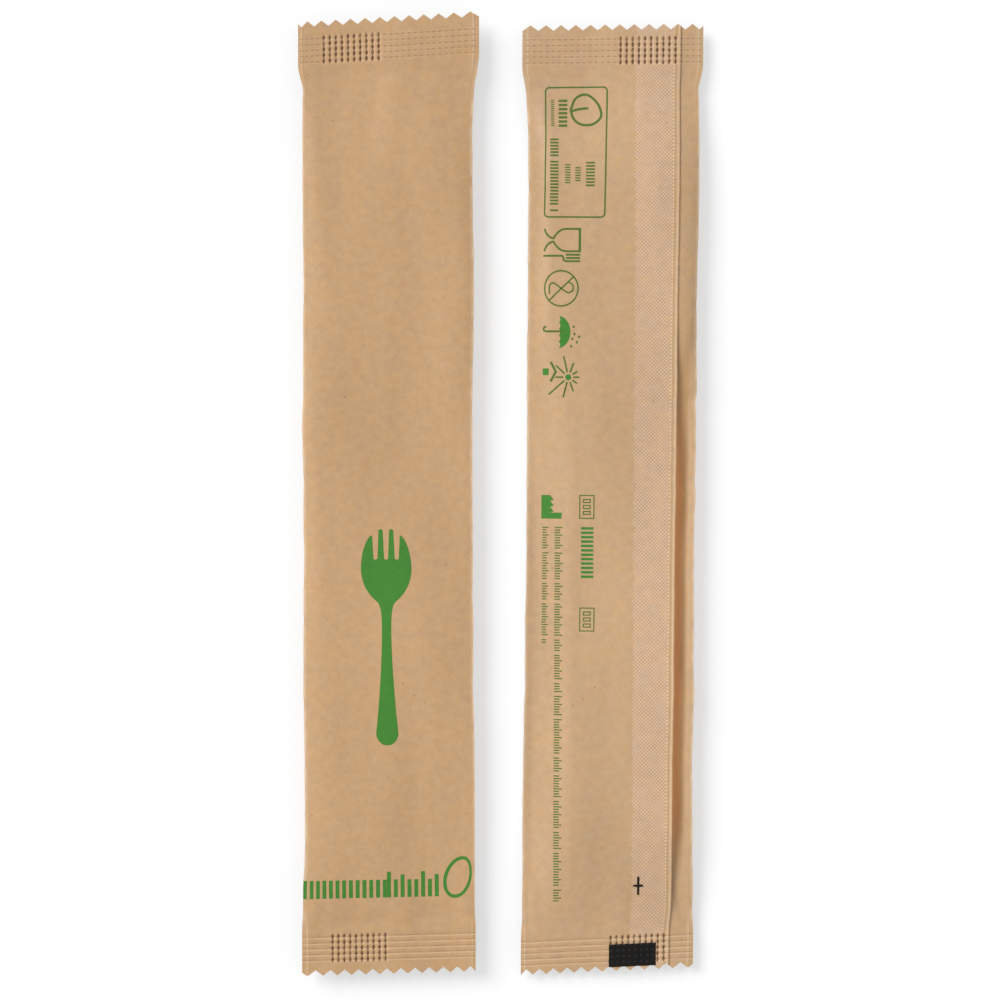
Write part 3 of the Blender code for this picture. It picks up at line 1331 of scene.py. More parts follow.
class Effects:
    """The node groups that the finishes share."""

    def __init__(self, tube: Tube, emboss: Emboss) -> None:
        """Builds each group once."""
        self.grain = self.paper_grain()
        self.marks = self.seal_marks(tube, emboss)

    @staticmethod
    def paper_grain() -> bpy.types.NodeTree:
        """Fibres, clouds and flecks of unbleached paper.

        Returns:
            A group from a place in millimetres to tone, warmth, fleck mask and height.
        """
        tree = new_group(
            "paper_grain",
            {"Place": "Vector", "Cloud": "Float", "Fibre": "Float", "Flecks": "Float"},
            {"Tone": "Float", "Warmth": "Float", "Fleck": "Float", "Height": "Float"},
        )
        sheet = NodeSheet(tree)
        given = sheet.node("NodeGroupInput").outputs
        stretched = sheet.node(
            "ShaderNodeMapping", {"Vector": given["Place"], "Scale": (1.0, 0.22, 1.0)}
        ).outputs["Vector"]
        clouds = sheet.noise(stretched, 0.085, 1.0)
        blots = sheet.noise(given["Place"], 0.55, 3.0, 0.62)
        fibres = sheet.noise(stretched, 4.6, 3.0, 0.65)
        grains = sheet.noise(given["Place"], 7.5, 2.0, 0.6)
        both = sheet.plus(sheet.times(clouds, 1.2), blots)
        cloud = sheet.times(sheet.minus(both, 1.1), given["Cloud"])
        fibre = sheet.times(sheet.minus(fibres, 0.5), given["Fibre"])
        tone = sheet.plus(cloud, fibre)
        speckle = sheet.node(
            "ShaderNodeTexVoronoi", {"Vector": given["Place"], "Scale": 0.31, "Randomness": 1.0}
        ).outputs["Distance"]
        rare = sheet.ramp(sheet.noise(given["Place"], 0.21, 0.0), 0.50, 0.60)
        fleck = sheet.times(sheet.ramp(speckle, 0.085, 0.03), rare)
        results = {
            "Tone": sheet.plus(tone, 1.0),
            "Warmth": sheet.noise(given["Place"], 0.24, 3.0, 0.7),
            "Fleck": sheet.times(fleck, given["Flecks"]),
            "Height": sheet.plus(sheet.times(fibres, 0.7), sheet.times(grains, 0.3)),
        }
        sheet.node("NodeGroupOutput", results)
        return tree

    @staticmethod
    def seal_marks(tube: Tube, emboss: Emboss) -> bpy.types.NodeTree:
        """The marks of the jaws in both seals, as painted shade and painted highlights.

        Args:
            tube: The sizes of the seals.
            emboss: The sizes of the waffle.

        Returns:
            A group from a place on the flat paper, in metres, to masks: painted shade in the deep slots,
            painted highlight on the paper between them, painted shade in the faint dots, the ribs' dark lines
            of painted shade and pale ridges of painted highlight, and the creases beside the folds, partly
            pale creased paper and partly painted highlight.
        """
        names = ("Slots", "Between", "Dots", "Lines", "Ridges", "Folds")
        tree = new_group("seal_marks", {"Place": "Vector"}, {name: "Float" for name in names})
        sheet = NodeSheet(tree)
        given = sheet.node("NodeGroupInput").outputs["Place"]
        axes = sheet.node("ShaderNodeSeparateXYZ", {"Vector": given}).outputs
        s, far = axes["X"], sheet.math("ABSOLUTE", axes["Y"])
        top = sheet.math("GREATER_THAN", axes["Y"], 0.0)
        from_ribs = sheet.minus(tube.ribs_edge, far)
        across = sheet.off_centre(sheet.minus(s, emboss.slot_first), emboss.slot_pitch)
        shifted = sheet.minus(from_ribs, tube.rib_pitch / 2)
        along = sheet.off_centre(shifted, tube.rib_pitch)
        inside = sheet.within(from_ribs, 0.0, tube.rib_count * tube.rib_pitch)
        zone = sheet.times(sheet.within(s, *emboss.slots_span()), inside)
        waist = sheet.times(along, along, -0.78)
        edge = sheet.minus(across, sheet.plus(waist, 0.228))
        millimetres = sheet.scaled(given, 1000.0)
        patchy = sheet.ramp(sheet.noise(millimetres, 0.9, 1.0), 0.32, 0.55, 0.55, 1.0)
        slot = sheet.times(sheet.ramp(edge, 0.05, -0.07), patchy)
        dot = sheet.times(sheet.ramp(across, 0.26, 0.12), sheet.ramp(along, 0.20, 0.06))
        # Uneven strength of the painted shade lines and the painted ridge highlights.
        uneven = sheet.ramp(sheet.noise(sheet.scaled(given, 350.0), 1.0, 2.0), 0.30, 0.56, 0.25, 1.0)
        line = sheet.times(sheet.ramp(along, 0.14, 0.05), uneven)
        beside = sheet.off_centre(sheet.plus(shifted, tube.rib_pitch * 0.24), tube.rib_pitch)
        ridge = sheet.times(sheet.ramp(beside, 0.15, 0.04), uneven)
        fold = sheet.minus(tube.flat_half - emboss.fold_inset, sheet.math("ABSOLUTE", s))
        fold = sheet.ramp(sheet.math("ABSOLUTE", fold), emboss.fold_width, emboss.fold_width * 0.3)
        # Slots, Dots and Lines are painted shade; Between and Ridges are painted highlights; Folds are partly
        # creased paper, partly painted highlight.
        masks = {
            "Slots": sheet.times(slot, zone),
            "Between": sheet.times(sheet.ramp(edge, 0.02, 0.14), zone),
            "Dots": sheet.times(dot, inside, top),
            "Lines": sheet.times(line, inside, sheet.ramp(top, 0.0, 1.0, 1.0, 0.35)),
            "Ridges": sheet.times(ridge, inside, sheet.ramp(top, 0.0, 1.0, 1.0, 0.5)),
            "Folds": sheet.times(fold, sheet.ramp(far, tube.seal_edge - 0.006, tube.seal_edge)),
        }
        sheet.node("NodeGroupOutput", masks)
        return tree


@dataclass(frozen=True)
class KraftPaper:
    """Unbleached, machine-glazed wrapping paper."""

    name: str
    colour: Colour
    # Pale creases, partly creased paper and partly painted highlight; also the painted highlights on the
    # ribs' ridges and the fin's cut edges.
    crease_and_highlight_colour: Colour = (0.86, 0.64, 0.42)
    # Pale side folds: partly creased paper, partly a painted highlight on their rims.
    crease_and_sheen_colour: Colour = (0.90, 0.73, 0.55)
    # Painted shade in the seals' slots, dots and rib grooves, and at the step of the fin's upper layer.
    emboss_shade_colour: Colour = (0.118, 0.045, 0.008)
    fleck_colour: Colour = (0.20, 0.115, 0.06)
    # Painted highlight on the paper between the seals' slots.
    emboss_highlight_colour: Colour = (0.74, 0.47, 0.24)
    # Paler tone of the knurled band: partly the paper's own, partly painted light.
    knurl_colour: Colour = (0.640, 0.425, 0.268)
    # Painted shade: a darker, warmer tone for the paper in the fin's cast shadow.
    fin_shadow_colour: Colour = (0.500, 0.290, 0.130)
    # Painted light: a bright warm tone near the fin's free edge, inside its shadow.
    fin_shadow_glow_colour: Colour = (0.940, 0.435, 0.160)
    rough: Pair = (0.44, 0.58)
    bump: float = 0.000014

    def material(self, effects: Effects, tube: Tube, emboss: Emboss, knurled: bool) -> Material:
        """The finish as a material.

        Args:
            effects: The shared node groups.
            tube: Place of the fin.
            emboss: Sizes of the knurl.
            knurled: Whether it is for the fin's upper side.

        Returns:
            The material.
        """
        made, sheet, shader = new_material(f"{self.name}_fin" if knurled else self.name, specular=0.42)
        place = sheet.node("ShaderNodeUVMap", uv_map=SHEET_MAP).outputs["UV"]
        grain = place_grain(sheet, effects, place, cloud=0.30, fibre=0.24, flecks=0.6)
        base = self.knurl_shade(sheet, place, tube, emboss) if knurled else self.colour
        warmth = sheet.ramp(grain["Warmth"], 0.38, 0.62)
        warm = sheet.blend(warmth, (1.022, 1.0, 0.955), (0.985, 1.0, 1.04))
        colour = sheet.blend(1.0, base, warm, "MULTIPLY")
        colour = sheet.blend(1.0, colour, sheet.grey(grain["Tone"]), "MULTIPLY")
        colour = sheet.blend(grain["Fleck"], colour, self.fleck_colour)
        # Painted shade and painted warm light on the strip in the fin's shadow, beside its free edge.
        if tube.back_up:
            for shade, start, end, high in (
                (self.fin_shadow_colour, 0.0034, 0.0022, 0.048),
                (self.fin_shadow_glow_colour, 0.0021, 0.0013, 0.026),
            ):
                colour = sheet.blend(self.fin_shadow_zone(sheet, place, tube, (start, end), high), colour, shade)
        # Paler side folds: partly creased paper, partly a painted highlight on their rims.
        crease = sheet.node("ShaderNodeAttribute", attribute_name=CREASE_AND_SHEEN_MASK).outputs["Fac"]
        colour = sheet.blend(sheet.times(crease, 0.75), colour, self.crease_and_sheen_colour)
        marks = sheet.group(effects.marks, {"Place": place})
        # Painted shade in the slots, dots and rib lines, painted highlight between the slots and on the
        # ridges, and pale fold creases that are partly painted highlight.
        for label, strength, shade in (
            ("Folds", 0.36, self.crease_and_highlight_colour),
            ("Between", 0.26, self.emboss_highlight_colour),
            ("Dots", 0.32, self.emboss_shade_colour),
            ("Ridges", 0.30, self.crease_and_highlight_colour),
            ("Lines", 0.30, self.emboss_shade_colour),
            ("Slots", 0.96, self.emboss_shade_colour),
        ):
            colour = sheet.blend(sheet.times(marks[label], strength), colour, shade)
        surface(sheet, shader, colour, grain["Height"], self.rough, self.bump)
        return made

    @staticmethod
    def fin_shadow_zone(sheet: NodeSheet, place: Socket, tube: Tube, reach: Pair, high: float) -> Socket:
        """Where painted shade and painted warm light lie on the paper beside the fin's free edge, in the
        fin's cast shadow, standing in for light that comes through the fin's layers.

        Args:
            sheet: The material's nodes.
            place: The place on the flat paper.
            tube: Place of the fin.
            reach: Distances from the fin at which the mask is nothing and full.
            high: Height along the sachet at which it ends.

        Returns:
            The mask's socket.
        """
        axes = sheet.node("ShaderNodeSeparateXYZ", {"Vector": place}).outputs
        edge = tube.fin_edge
        beside = sheet.ramp(axes["X"], edge + reach[0], edge + reach[1])
        past = sheet.math("GREATER_THAN", axes["X"], edge + HAIR)
        along = sheet.ramp(axes["Y"], high, high - 0.024, 0.0, 0.9)
        above = sheet.ramp(axes["Y"], -0.078, -0.058)
        return sheet.times(beside, past, along, above)

    def knurl_shade(self, sheet: NodeSheet, place: Socket, tube: Tube, emboss: Emboss) -> Socket:
        """The fin's colour: paler on the knurl, partly its own tone and partly painted light of the fin's
        tilt toward the light, with painted light and shade on the knurl's diamonds, and painted highlights
        and a line of painted shade along the cut rim beside that.

        Args:
            sheet: The material's nodes.
            place: The place on the flat paper.
            tube: Place of the fin.
            emboss: Sizes of the knurl.

        Returns:
            The colour's socket.
        """
        axes = sheet.node("ShaderNodeSeparateXYZ", {"Vector": place}).outputs
        s, t = axes["X"], axes["Y"]
        from_start = sheet.minus(s, sheet.times(t, emboss.knurl_lean))
        millimetres = sheet.scaled(place, 1000.0)
        ragged = sheet.ramp(sheet.noise(millimetres, 0.8), 0.3, 0.7, -0.00025, 0.00025)
        from_start = sheet.plus(from_start, ragged)
        start = sheet.ramp(from_start, emboss.knurl_start - 0.0002, emboss.knurl_start + 0.0003)
        end = sheet.ramp(s, emboss.knurl_end + 0.0001, emboss.knurl_end - 0.0001)
        zone = sheet.times(start, end)
        turn = 2 * math.pi / emboss.knurl_pitch
        waves = [sheet.math("COSINE", sheet.times(axis, turn)) for axis in (s, t)]
        patchy = sheet.ramp(sheet.noise(millimetres, 0.22), 0.35, 0.65, 0.45, 1.15)
        sealed = sheet.ramp(sheet.math("ABSOLUTE", t), tube.seal_edge, tube.seal_edge - tube.rib_pitch)
        # Painted highlights on the knurl's crests and painted shade in its hollows.
        lattice = sheet.times(*waves, patchy, sealed)
        diamond = sheet.ramp(lattice, -0.75, 0.55, 0.72, 1.15)
        pale = sheet.blend(1.0, self.knurl_colour, sheet.grey(diamond), "MULTIPLY")
        colour = sheet.blend(zone, self.colour, pale)
        pearls = sheet.ramp(waves[1], -0.4, 0.9, 0.20, 0.95)
        # Painted highlights along the upper layer's cut rim and the free edge, and painted shade of the rim's
        # step between them.
        for inset, width, strength, shade in (
            (0.00128, 0.00014, pearls, self.crease_and_highlight_colour),
            (0.00090, 0.00020, 0.12, self.emboss_shade_colour),
            (0.00034, 0.00024, 0.48, self.crease_and_highlight_colour),
        ):
            away = sheet.math("ABSOLUTE", sheet.minus(s, tube.fin_edge - inset))
            line = sheet.ramp(away, width, width * 0.3)
            colour = sheet.blend(sheet.times(line, strength), colour, shade)
        return colour


@dataclass(frozen=True)
class Ink:
    """A water-based ink that soaks into the paper a little."""

    name: str
    colour: Colour
    specular: float = 0.18
    rough: Pair = (0.50, 0.63)
    show_through: float = 0.12
    bump: float = 0.000010

    def material(self, effects: Effects, paper: Colour) -> Material:
        """The finish as a material.

        Args:
            effects: The shared node groups.
            paper: Colour of the paper that shows through.

        Returns:
            The material.
        """
        made, sheet, shader = new_material(self.name, self.specular)
        place = sheet.node("ShaderNodeUVMap", uv_map=SHEET_MAP).outputs["UV"]
        grain = place_grain(sheet, effects, place, cloud=0.25, fibre=0.35, flecks=0.0)
        colour = sheet.blend(1.0, self.colour, sheet.grey(grain["Tone"]), "MULTIPLY")
        thin = sheet.ramp(grain["Height"], 0.52, 0.72, 0.0, self.show_through)
        colour = sheet.blend(thin, colour, paper)
        surface(sheet, shader, colour, grain["Height"], self.rough, self.bump)
        return made


def new_material(name: str, specular: float) -> tuple[Material, NodeSheet, bpy.types.Node]:
    """A material with its nodes and its shader.

    Args:
        name: Its name.
        specular: How strongly it mirrors.

    Returns:
        The material, its nodes and its shader.
    """
    made = bpy.data.materials.new(name)
    made.use_nodes = True
    shader = made.node_tree.nodes["Principled BSDF"]
    shader.inputs["Specular IOR Level"].default_value = specular
    return made, NodeSheet(made.node_tree), shader


def surface(
    sheet: NodeSheet, shader: bpy.types.Node, colour: Socket, height: Socket, rough: Pair, bump: float
) -> None:
    """Joins a finish to its shader.

    Args:
        sheet: The material's nodes.
        shader: Its shader.
        colour: Its colour.
        height: Height of its grain.
        rough: Its roughness in the grain's hollows and on its crests.
        bump: How high the grain stands.
    """
    normal = sheet.node("ShaderNodeBump", {"Height": height, "Distance": bump, "Strength": 1.0})
    links = sheet.tree.links
    links.new(colour, shader.inputs["Base Color"])
    links.new(sheet.ramp(height, 0.3, 0.7, *rough), shader.inputs["Roughness"])
    links.new(normal.outputs["Normal"], shader.inputs["Normal"])


def place_grain(
    sheet: NodeSheet, effects: Effects, place: Socket, cloud: float, fibre: float, flecks: float
) -> Mapping[str, Socket]:
    """Adds the paper grain to a material.

    Args:
        sheet: The material's nodes.
        effects: The shared node groups.
        place: The place on the flat paper, in metres.
        cloud: Strength of the soft clouds.
        fibre: Strength of the fibres.
        flecks: Strength of the dark flecks.

    Returns:
        The group's outputs.
    """
    given = {"Place": sheet.scaled(place, 1000.0), "Cloud": cloud, "Fibre": fibre, "Flecks": flecks}
    return sheet.group(effects.grain, given)


@dataclass(frozen=True)
class Inks:
    """The print's materials."""

    green: Material
    olive: Material
    black: Material


@dataclass
class FrontPrint:
    """The front's figure and stripes, in the sachet's own s and t.

    Seen from outside, the front's s runs from right to left.

    Attributes:
        printer: Lays the ink.
        middle: s of the figure's middle.
        widest: t where the figure's bowl is widest.
        bowl: Half its width there, and how far it reaches above and below that.
        neck: t of the narrowest place, and half the width there.
        handle: t where the handle is widest, and half the width there.
        shoulder: t, size and length of the curve from the bowl to the neck.
        handle_end: t of the handle's lower end.
        tip: t of the middle tines' tips.
        outer_tip: Points round the tip of the right outer tine.
        slot_places: s of the slots between the tines.
        slot_half: Half a slot's width.
        slot_flare: How much wider each side of a slot gets towards the tips.
        slot_bottom: t of the slots' lower ends.
        row: Rows of bars under the figure, each as s of its left end and right end, t of its foot,
            and heights of its bars in turn.
        bar: Width of a bar, and from one bar to the next.
        oval: Centre and half sizes of the oval line after the bars.
        oval_turn: Its turn.
        oval_line: Width of its line.
    """

    printer: Printer
    middle: float = 0.0005
    widest: float = -0.0145
    bowl: Triple = (0.0051, 0.0084, 0.0070)
    neck: Pair = (-0.0260, 0.00093)
    handle: Pair = (-0.0480, 0.00225)
    shoulder: Triple = (-0.0216, 0.00075, 0.0013)
    handle_end: float = -0.0505
    tip: float = -0.00666
    outer_tip: tuple[Pair, ...] = (
        (0.00325, -0.00815),
        (0.00310, -0.00798),
        (0.00295, -0.00793),
        (0.00280, -0.00805),
    )
    slot_places: tuple[float, ...] = (-0.00215, 0.0, 0.00215)
    slot_half: float = 0.00042
    slot_flare: float = 0.00022
    slot_bottom: float = -0.01285
    row: tuple[tuple, ...] = (
        (0.0182, 0.0016, -0.0813, (0.0036,)),
        (0.0008, -0.0102, -0.0813, (0.0052, 0.0036, 0.0046, 0.0036, 0.0036)),
    )
    bar: Pair = (0.00080, 0.00138)
    oval: tuple[Pair, Pair] = ((-0.0139, -0.0774), (0.0031, 0.0045))
    oval_turn: float = math.radians(-22)
    oval_line: float = 0.0007

    def half_width(self, t: Array) -> Array:
        """Half the figure's width at places along it.

        Args:
            t: The places.

        Returns:
            The half widths.
        """
        (half, above, below), (place, size, fade) = self.bowl, self.shoulder
        reach = np.where(t > self.widest, above, below)
        bowl = half * np.sqrt(np.clip(1 - ((t - self.widest) / reach) ** 2, 0, 1))
        share = np.clip((self.neck[0] - t) / (self.neck[0] - self.handle[0]), 0, 1) ** 1.8
        neck = between(self.neck[1], self.handle[1], share)
        neck = neck + size * np.exp(np.minimum((t - place) / fade, 0.4))
        return np.where(t > self.widest, bowl, (bowl**4 + neck**4) ** 0.25)

    def spork(self) -> Rings:
        """The outline of a common spork: a bowl with four tines, and a handle.

        Returns:
            The figure's rings.
        """
        down = np.linspace(self.outer_tip[0][1], self.handle[0], 90)[1:]
        side = np.stack([self.half_width(down), down], axis=-1)
        foot = Figure.arc((0, 0), 1.0, 0, -math.pi / 2) * (side[-1, 0], self.handle[0] - self.handle_end)
        half = np.concatenate([side, foot[1:-1] + (0, self.handle[0])])
        return [np.concatenate([half, half[::-1] * (-1, 1), self.tines()]) + (self.middle, 0)]

    def tines(self) -> Ring:
        """The upper end of the figure from left to right, with a round slot between tines.

        Returns:
            The points.
        """
        corner = np.array(self.outer_tip)
        points = [corner * (-1, 1)]
        for place, after in zip(self.slot_places, (*self.slot_places[1:], None)):
            bottom = (place, self.slot_bottom + self.slot_half)
            points.append(Figure.arc(bottom, self.slot_half, math.pi, 2 * math.pi))
            if after is not None:
                radius = (after - place) / 2 - self.slot_half - self.slot_flare
                top = ((place + after) / 2, self.tip - radius)
                points.append(Figure.arc(top, radius, math.pi, 0))
        return np.concatenate([*points, corner[::-1]])

    def build(self, name: str, inks: Inks) -> list[Piece]:
        """Prints the front.

        Args:
            name: Start of the pieces' names.
            inks: The inks.

        Returns:
            The pieces.
        """
        return [
            self.printer.lay(f"{name}_spork_figure", [self.spork()], inks.green),
            self.printer.lay(f"{name}_bars", self.bars(), inks.green),
        ]

    def bars(self) -> list[Rings]:
        """Rows of plain bars and an oval line.

        Returns:
            The figures.
        """
        out = []
        for left, right, foot, heights in self.row:
            for n, place in enumerate(np.arange(left, right, -self.bar[1])):
                top = foot + heights[n % len(heights)]
                out.append(Figure.block((place - self.bar[0], foot), (place, top)))
        centre, half = (np.array(pair) for pair in self.oval)
        turn = np.array(Matrix.Rotation(self.oval_turn, 2))
        oval = Figure.disc((0, 0), 1.0)[0]
        return [*out, [centre + oval * size @ turn for size in (half, half - self.oval_line)]]


@dataclass(frozen=True)
class Dashes:
    """A row of upright dashes with gaps, in the rhythm of a line of small print.

    Attributes:
        start: t of the row's start.
        end: t of its end.
        foot: s of the dashes' lower ends.
        body: Height of the low dashes.
        weight: Width of each dash.
        pitch: From one dash to the next.
        tall: Height of the tall dashes, as a share of the low ones.
        words: Dashes between two gaps.
    """

    start: float
    end: float
    foot: float
    body: float
    weight: float
    pitch: float
    tall: float = 1.42
    words: tuple[int, ...] = (9, 11, 7, 13, 5, 10, 4, 8, 14, 6)

    def blocks(self) -> list[Rings]:
        """The dashes, with x along the row and y up.

        Returns:
            A figure for each.
        """
        out, place, word, letter = [], 0.0, 0, 0
        while place + self.weight < self.start - self.end:
            height = self.body * (self.tall if (letter * 5 + word) % 7 < 2 else 1.0)
            out.append(Figure.block((place, 0), (place + self.weight, height)))
            letter += 1
            place += self.pitch
            if letter == self.words[word % len(self.words)]:
                word, letter, place = word + 1, 0, place + self.pitch
        return out


@dataclass
class BackPrint:
    """The back's frame, figures and rows of dashes, in the sachet's own s and t.

    The print is turned a quarter: its lines run towards the bottom, and its up is +s. Figures are
    drawn upright in millimetres, with x along the line of print and y up from the figures' foot.

    Attributes:
        printer: Lays the ink.
        line: Width of the frame's and the ring's line. The other lines' widths follow it.
        figure_base: s of the figures' foot.
        stray: How far the print's rows turn off the sachet's length below its middle.
        tag_bar: Width of a bar in a tag.
        tag_margin: From a tag's edge to the ends of its bars.
        frame_corners: Two corners of the rounded frame.
        frame_corner: Radius of its corners.
        frame_middle: t of its middle, which its slant leaves in place.
        frame_slant: How far it strays across for its length.
    """

    printer: Printer
    line: float = 0.00032
    figure_line: float = 0.00040
    bold_line: float = 0.00050
    ray_line: float = 0.00034
    figure_base: float = -0.01433
    stray: float = 0.0078
    tag_line: float = 0.00022
    tag_bar: float = 0.00084
    tag_margin: float = 0.00075
    frame_corners: tuple[Pair, Pair] = ((-0.01430, 0.05710), (-0.00140, 0.08407))
    frame_corner: float = 0.0010
    frame_middle: float = 0.0706
    frame_slant: float = 0.012

    def turned(self, rings: Iterable[Ring], start: float, base: float) -> Rings:
        """Rings drawn upright, turned and moved to the print.

        Args:
            rings: Rings with x along the line of print and y up.
            start: t of their x = 0.
            base: s of their y = 0.

        Returns:
            The rings on the paper.
        """
        out = []
        for ring in rings:
            t = start - ring[:, 0]
            out.append(np.stack([base + ring[:, 1] + self.stray * np.clip(-t, 0, None), t], axis=-1))
        return out

    def figure(self, start: float, shapes: Iterable[Rings]) -> list[Rings]:
        """Shapes in millimetres as a figure at a place along the print."""
        return [self.turned([0.001 * ring for ring in rings], start, self.figure_base) for rings in shapes]

    def drawn(self, start: float, paths: Iterable[Sequence[Point]], line: float) -> list[Rings]:
        """Paths in millimetres as the lines of a figure."""
        return self.figure(start, [Figure.stroke(path, line * 1000) for path in paths])

    def row(self, dashes: Dashes) -> list[Rings]:
        """A row of dashes on the paper."""
        return [self.turned(block, dashes.start, dashes.foot) for block in dashes.blocks()]

    def glass(self) -> list[Rings]:
        """A plain goblet and a fork beside it.

        Returns:
            The figures.
        """
        upper = Figure.smooth([(2.27, 4.9), (2.05, 3.8), (1.30, 2.8), (0.33, 2.1)])
        lower = Figure.smooth([(0.33, 2.1), (0.56, 1.35), (1.25, 0.55), (2.3, 0.08)])
        side = np.vstack([[(2.27, 7.6)], upper, lower[1:]])
        fork = [(3.2, -0.13), (3.2, 4.0), (3.45, 4.22), (4.05, 4.35), (4.29, 4.75), (4.29, 7.7)]
        lines = [side, side * (-1, 1), fork, *([(x, 4.8), (x, 7.7)] for x in (2.97, 3.63))]
        rim = [(-2.45, 7.62), (2.45, 7.62)]
        return self.drawn(0.0526, lines, self.figure_line) + self.drawn(0.0526, [rim], self.bold_line)

    def medal(self) -> list[Rings]:
        """A ring with a wave and a bar across it.

        Returns:
            The figures.
        """
        wave = [(-1.35, 5.3), (-0.75, 6.2), (0.3, 6.3), (0.85, 5.4), (0.25, 4.2)]
        wave += [(-0.7, 2.9), (-1.1, 1.9), (-0.4, 1.3), (1.2, 1.35)]
        bar = [(-2.35, 6.4), (2.5, 1.25)]
        ring = self.figure(0.04281, [Figure.ring((0, 3.8), 3.74, self.line * 1000)])
        return ring + self.drawn(0.04281, [Figure.smooth(wave), bar], self.line)

    def umbrella(self) -> tuple[list[Rings], list[Rings]]:
        """An umbrella under drops, as the filled canopy and the thin lines.

        Returns:
            The filled shapes and the thin lines.
        """
        start, half, base, top = 0.03397, 3.25, 3.35, 5.9
        canopy = Figure.arc((0, 0), 1.0, 0, math.pi) * (half, top - base) + (0, base)
        places = np.linspace(-half, half, 6)
        scallops = [
            Figure.arc((0, 0), 1.0, math.pi, 0) * (half / 5, 0.42) + ((a + b) / 2, base)
            for a, b in zip(places, places[1:])
        ]
        lower = np.concatenate([arc[1:] for arc in scallops])[:-1]
        hook = [(-0.13, 1.4), (-0.13, 0.6), (-0.38, 0.16), (-0.75, 0.1), (-1.0, 0.35), (-1.03, 0.7)]
        shaft = np.vstack([[(-0.13, base + 0.9)], Figure.smooth(hook)])
        drop = Figure.disc((0, 0), 1.0)[0] * (0.29, 0.22)
        drops = ((-1.08, 6.54), (0.37, 6.72), (0.96, 7.68), (1.38, 6.28), (2.01, 7.23), (2.87, 6.07))
        fill = self.figure(start, [[np.concatenate([canopy, lower])]])
        lines = self.drawn(start, [shaft], self.figure_line)
        return fill, lines + self.figure(start, [[drop + place] for place in drops])

    def sun(self) -> tuple[list[Rings], list[Rings]]:
        """A sun over a small box, as the filled shapes and the thin lines.

        Returns:
            The filled shapes and the thin lines.
        """
        start, centre = 0.02483, np.array((0.0, 5.55))
        ends = (
            (-4.27, -0.98), (3.52, -4.15), (4.10, -1.04), (2.85, 1.06), (1.26, 1.83),
            (0.0, 2.28), (-1.18, 1.83), (-2.89, 1.06), (-2.38, -2.62), (0.0, -2.74),
        )
        rays = [[centre + np.array(end) * 1.05 / math.hypot(*end), centre + end] for end in ends]
        roof = [(-3.09, 1.8), (-1.1, 2.9), (0.88, 1.8)]
        fill = [Figure.disc(centre, 0.62), Figure.block((-1.77, 0.0), (-0.43, 1.35))]
        lines = self.drawn(start, rays, self.ray_line) + self.drawn(start, [roof], self.bold_line)
        return self.figure(start, fill), lines

    def works(self) -> list[Rings]:
        """A low block with a saw-toothed roof and a chimney.

        Returns:
            The figure.
        """
        teeth = [point for n in range(3) for point in ((1.18 * n, 2.0), (1.18 * n + 0.95, 2.8))]
        outline = [(0, 0), *teeth, (3.55, 2.0), (3.55, 4.45), (4.79, 4.45), (4.79, 0)]
        return self.figure(0.00095, [[np.array(outline[::-1], float)]])

    def frame_filling(self) -> list[Rings]:
        """Rows of dashes and a plain leaf that fill the rounded frame.

        Returns:
            The figures.
        """
        rows = (
            Dashes(0.0814, 0.0756, -0.0113, 0.0018, 0.00050, 0.00086, 1.0, UNBROKEN),
            Dashes(0.0813, 0.0758, -0.0129, 0.0007, 0.00020, 0.00040, 1.0, UNBROKEN),
            Dashes(0.0733, 0.0584, -0.0131, 0.0018, 0.00036, 0.00066, 1.0, (6, 14)),
            Dashes(0.0680, 0.0638, -0.0099, 0.0011, 0.00026, 0.00052, 1.0, UNBROKEN),
            Dashes(0.0674, 0.0643, -0.0078, 0.0011, 0.00026, 0.00052, 1.0, UNBROKEN),
            Dashes(0.0685, 0.0633, -0.0056, 0.0018, 0.00036, 0.00066, 1.0, UNBROKEN),
        )
        leaf = [(-0.0088, 0.0792), (-0.0078, 0.0816), (-0.0056, 0.0824), (-0.0034, 0.0806), (-0.0026, 0.0780),
                (-0.0042, 0.0763), (-0.0066, 0.0762), (-0.0082, 0.0774), (-0.0088, 0.0792)]
        stem = [(-0.0052, 0.0796), (-0.0072, 0.0794), (-0.0086, 0.0790)]
        drawn = [Figure.stroke(Figure.smooth(path), self.bold_line) for path in (leaf, stem)]
        return [block for row in rows for block in self.row(row)] + drawn

    def tag(self, low: Point, high: Point) -> list[Rings]:
        """A small outlined box with three bars in it.

        Args:
            low: Its lower left corner.
            high: Its upper right corner.

        Returns:
            The figures.
        """
        out = [Figure.outline(low, high, self.tag_line, 0.0)]
        for place in np.linspace(low[1], high[1], 5)[1:-1]:
            corner = (low[0] + self.tag_margin, place - self.tag_bar / 2)
            opposite = (high[0] - self.tag_margin, place + self.tag_bar / 2)
            out.append(Figure.outline(corner, opposite, self.tag_line, 0.0))
        return out

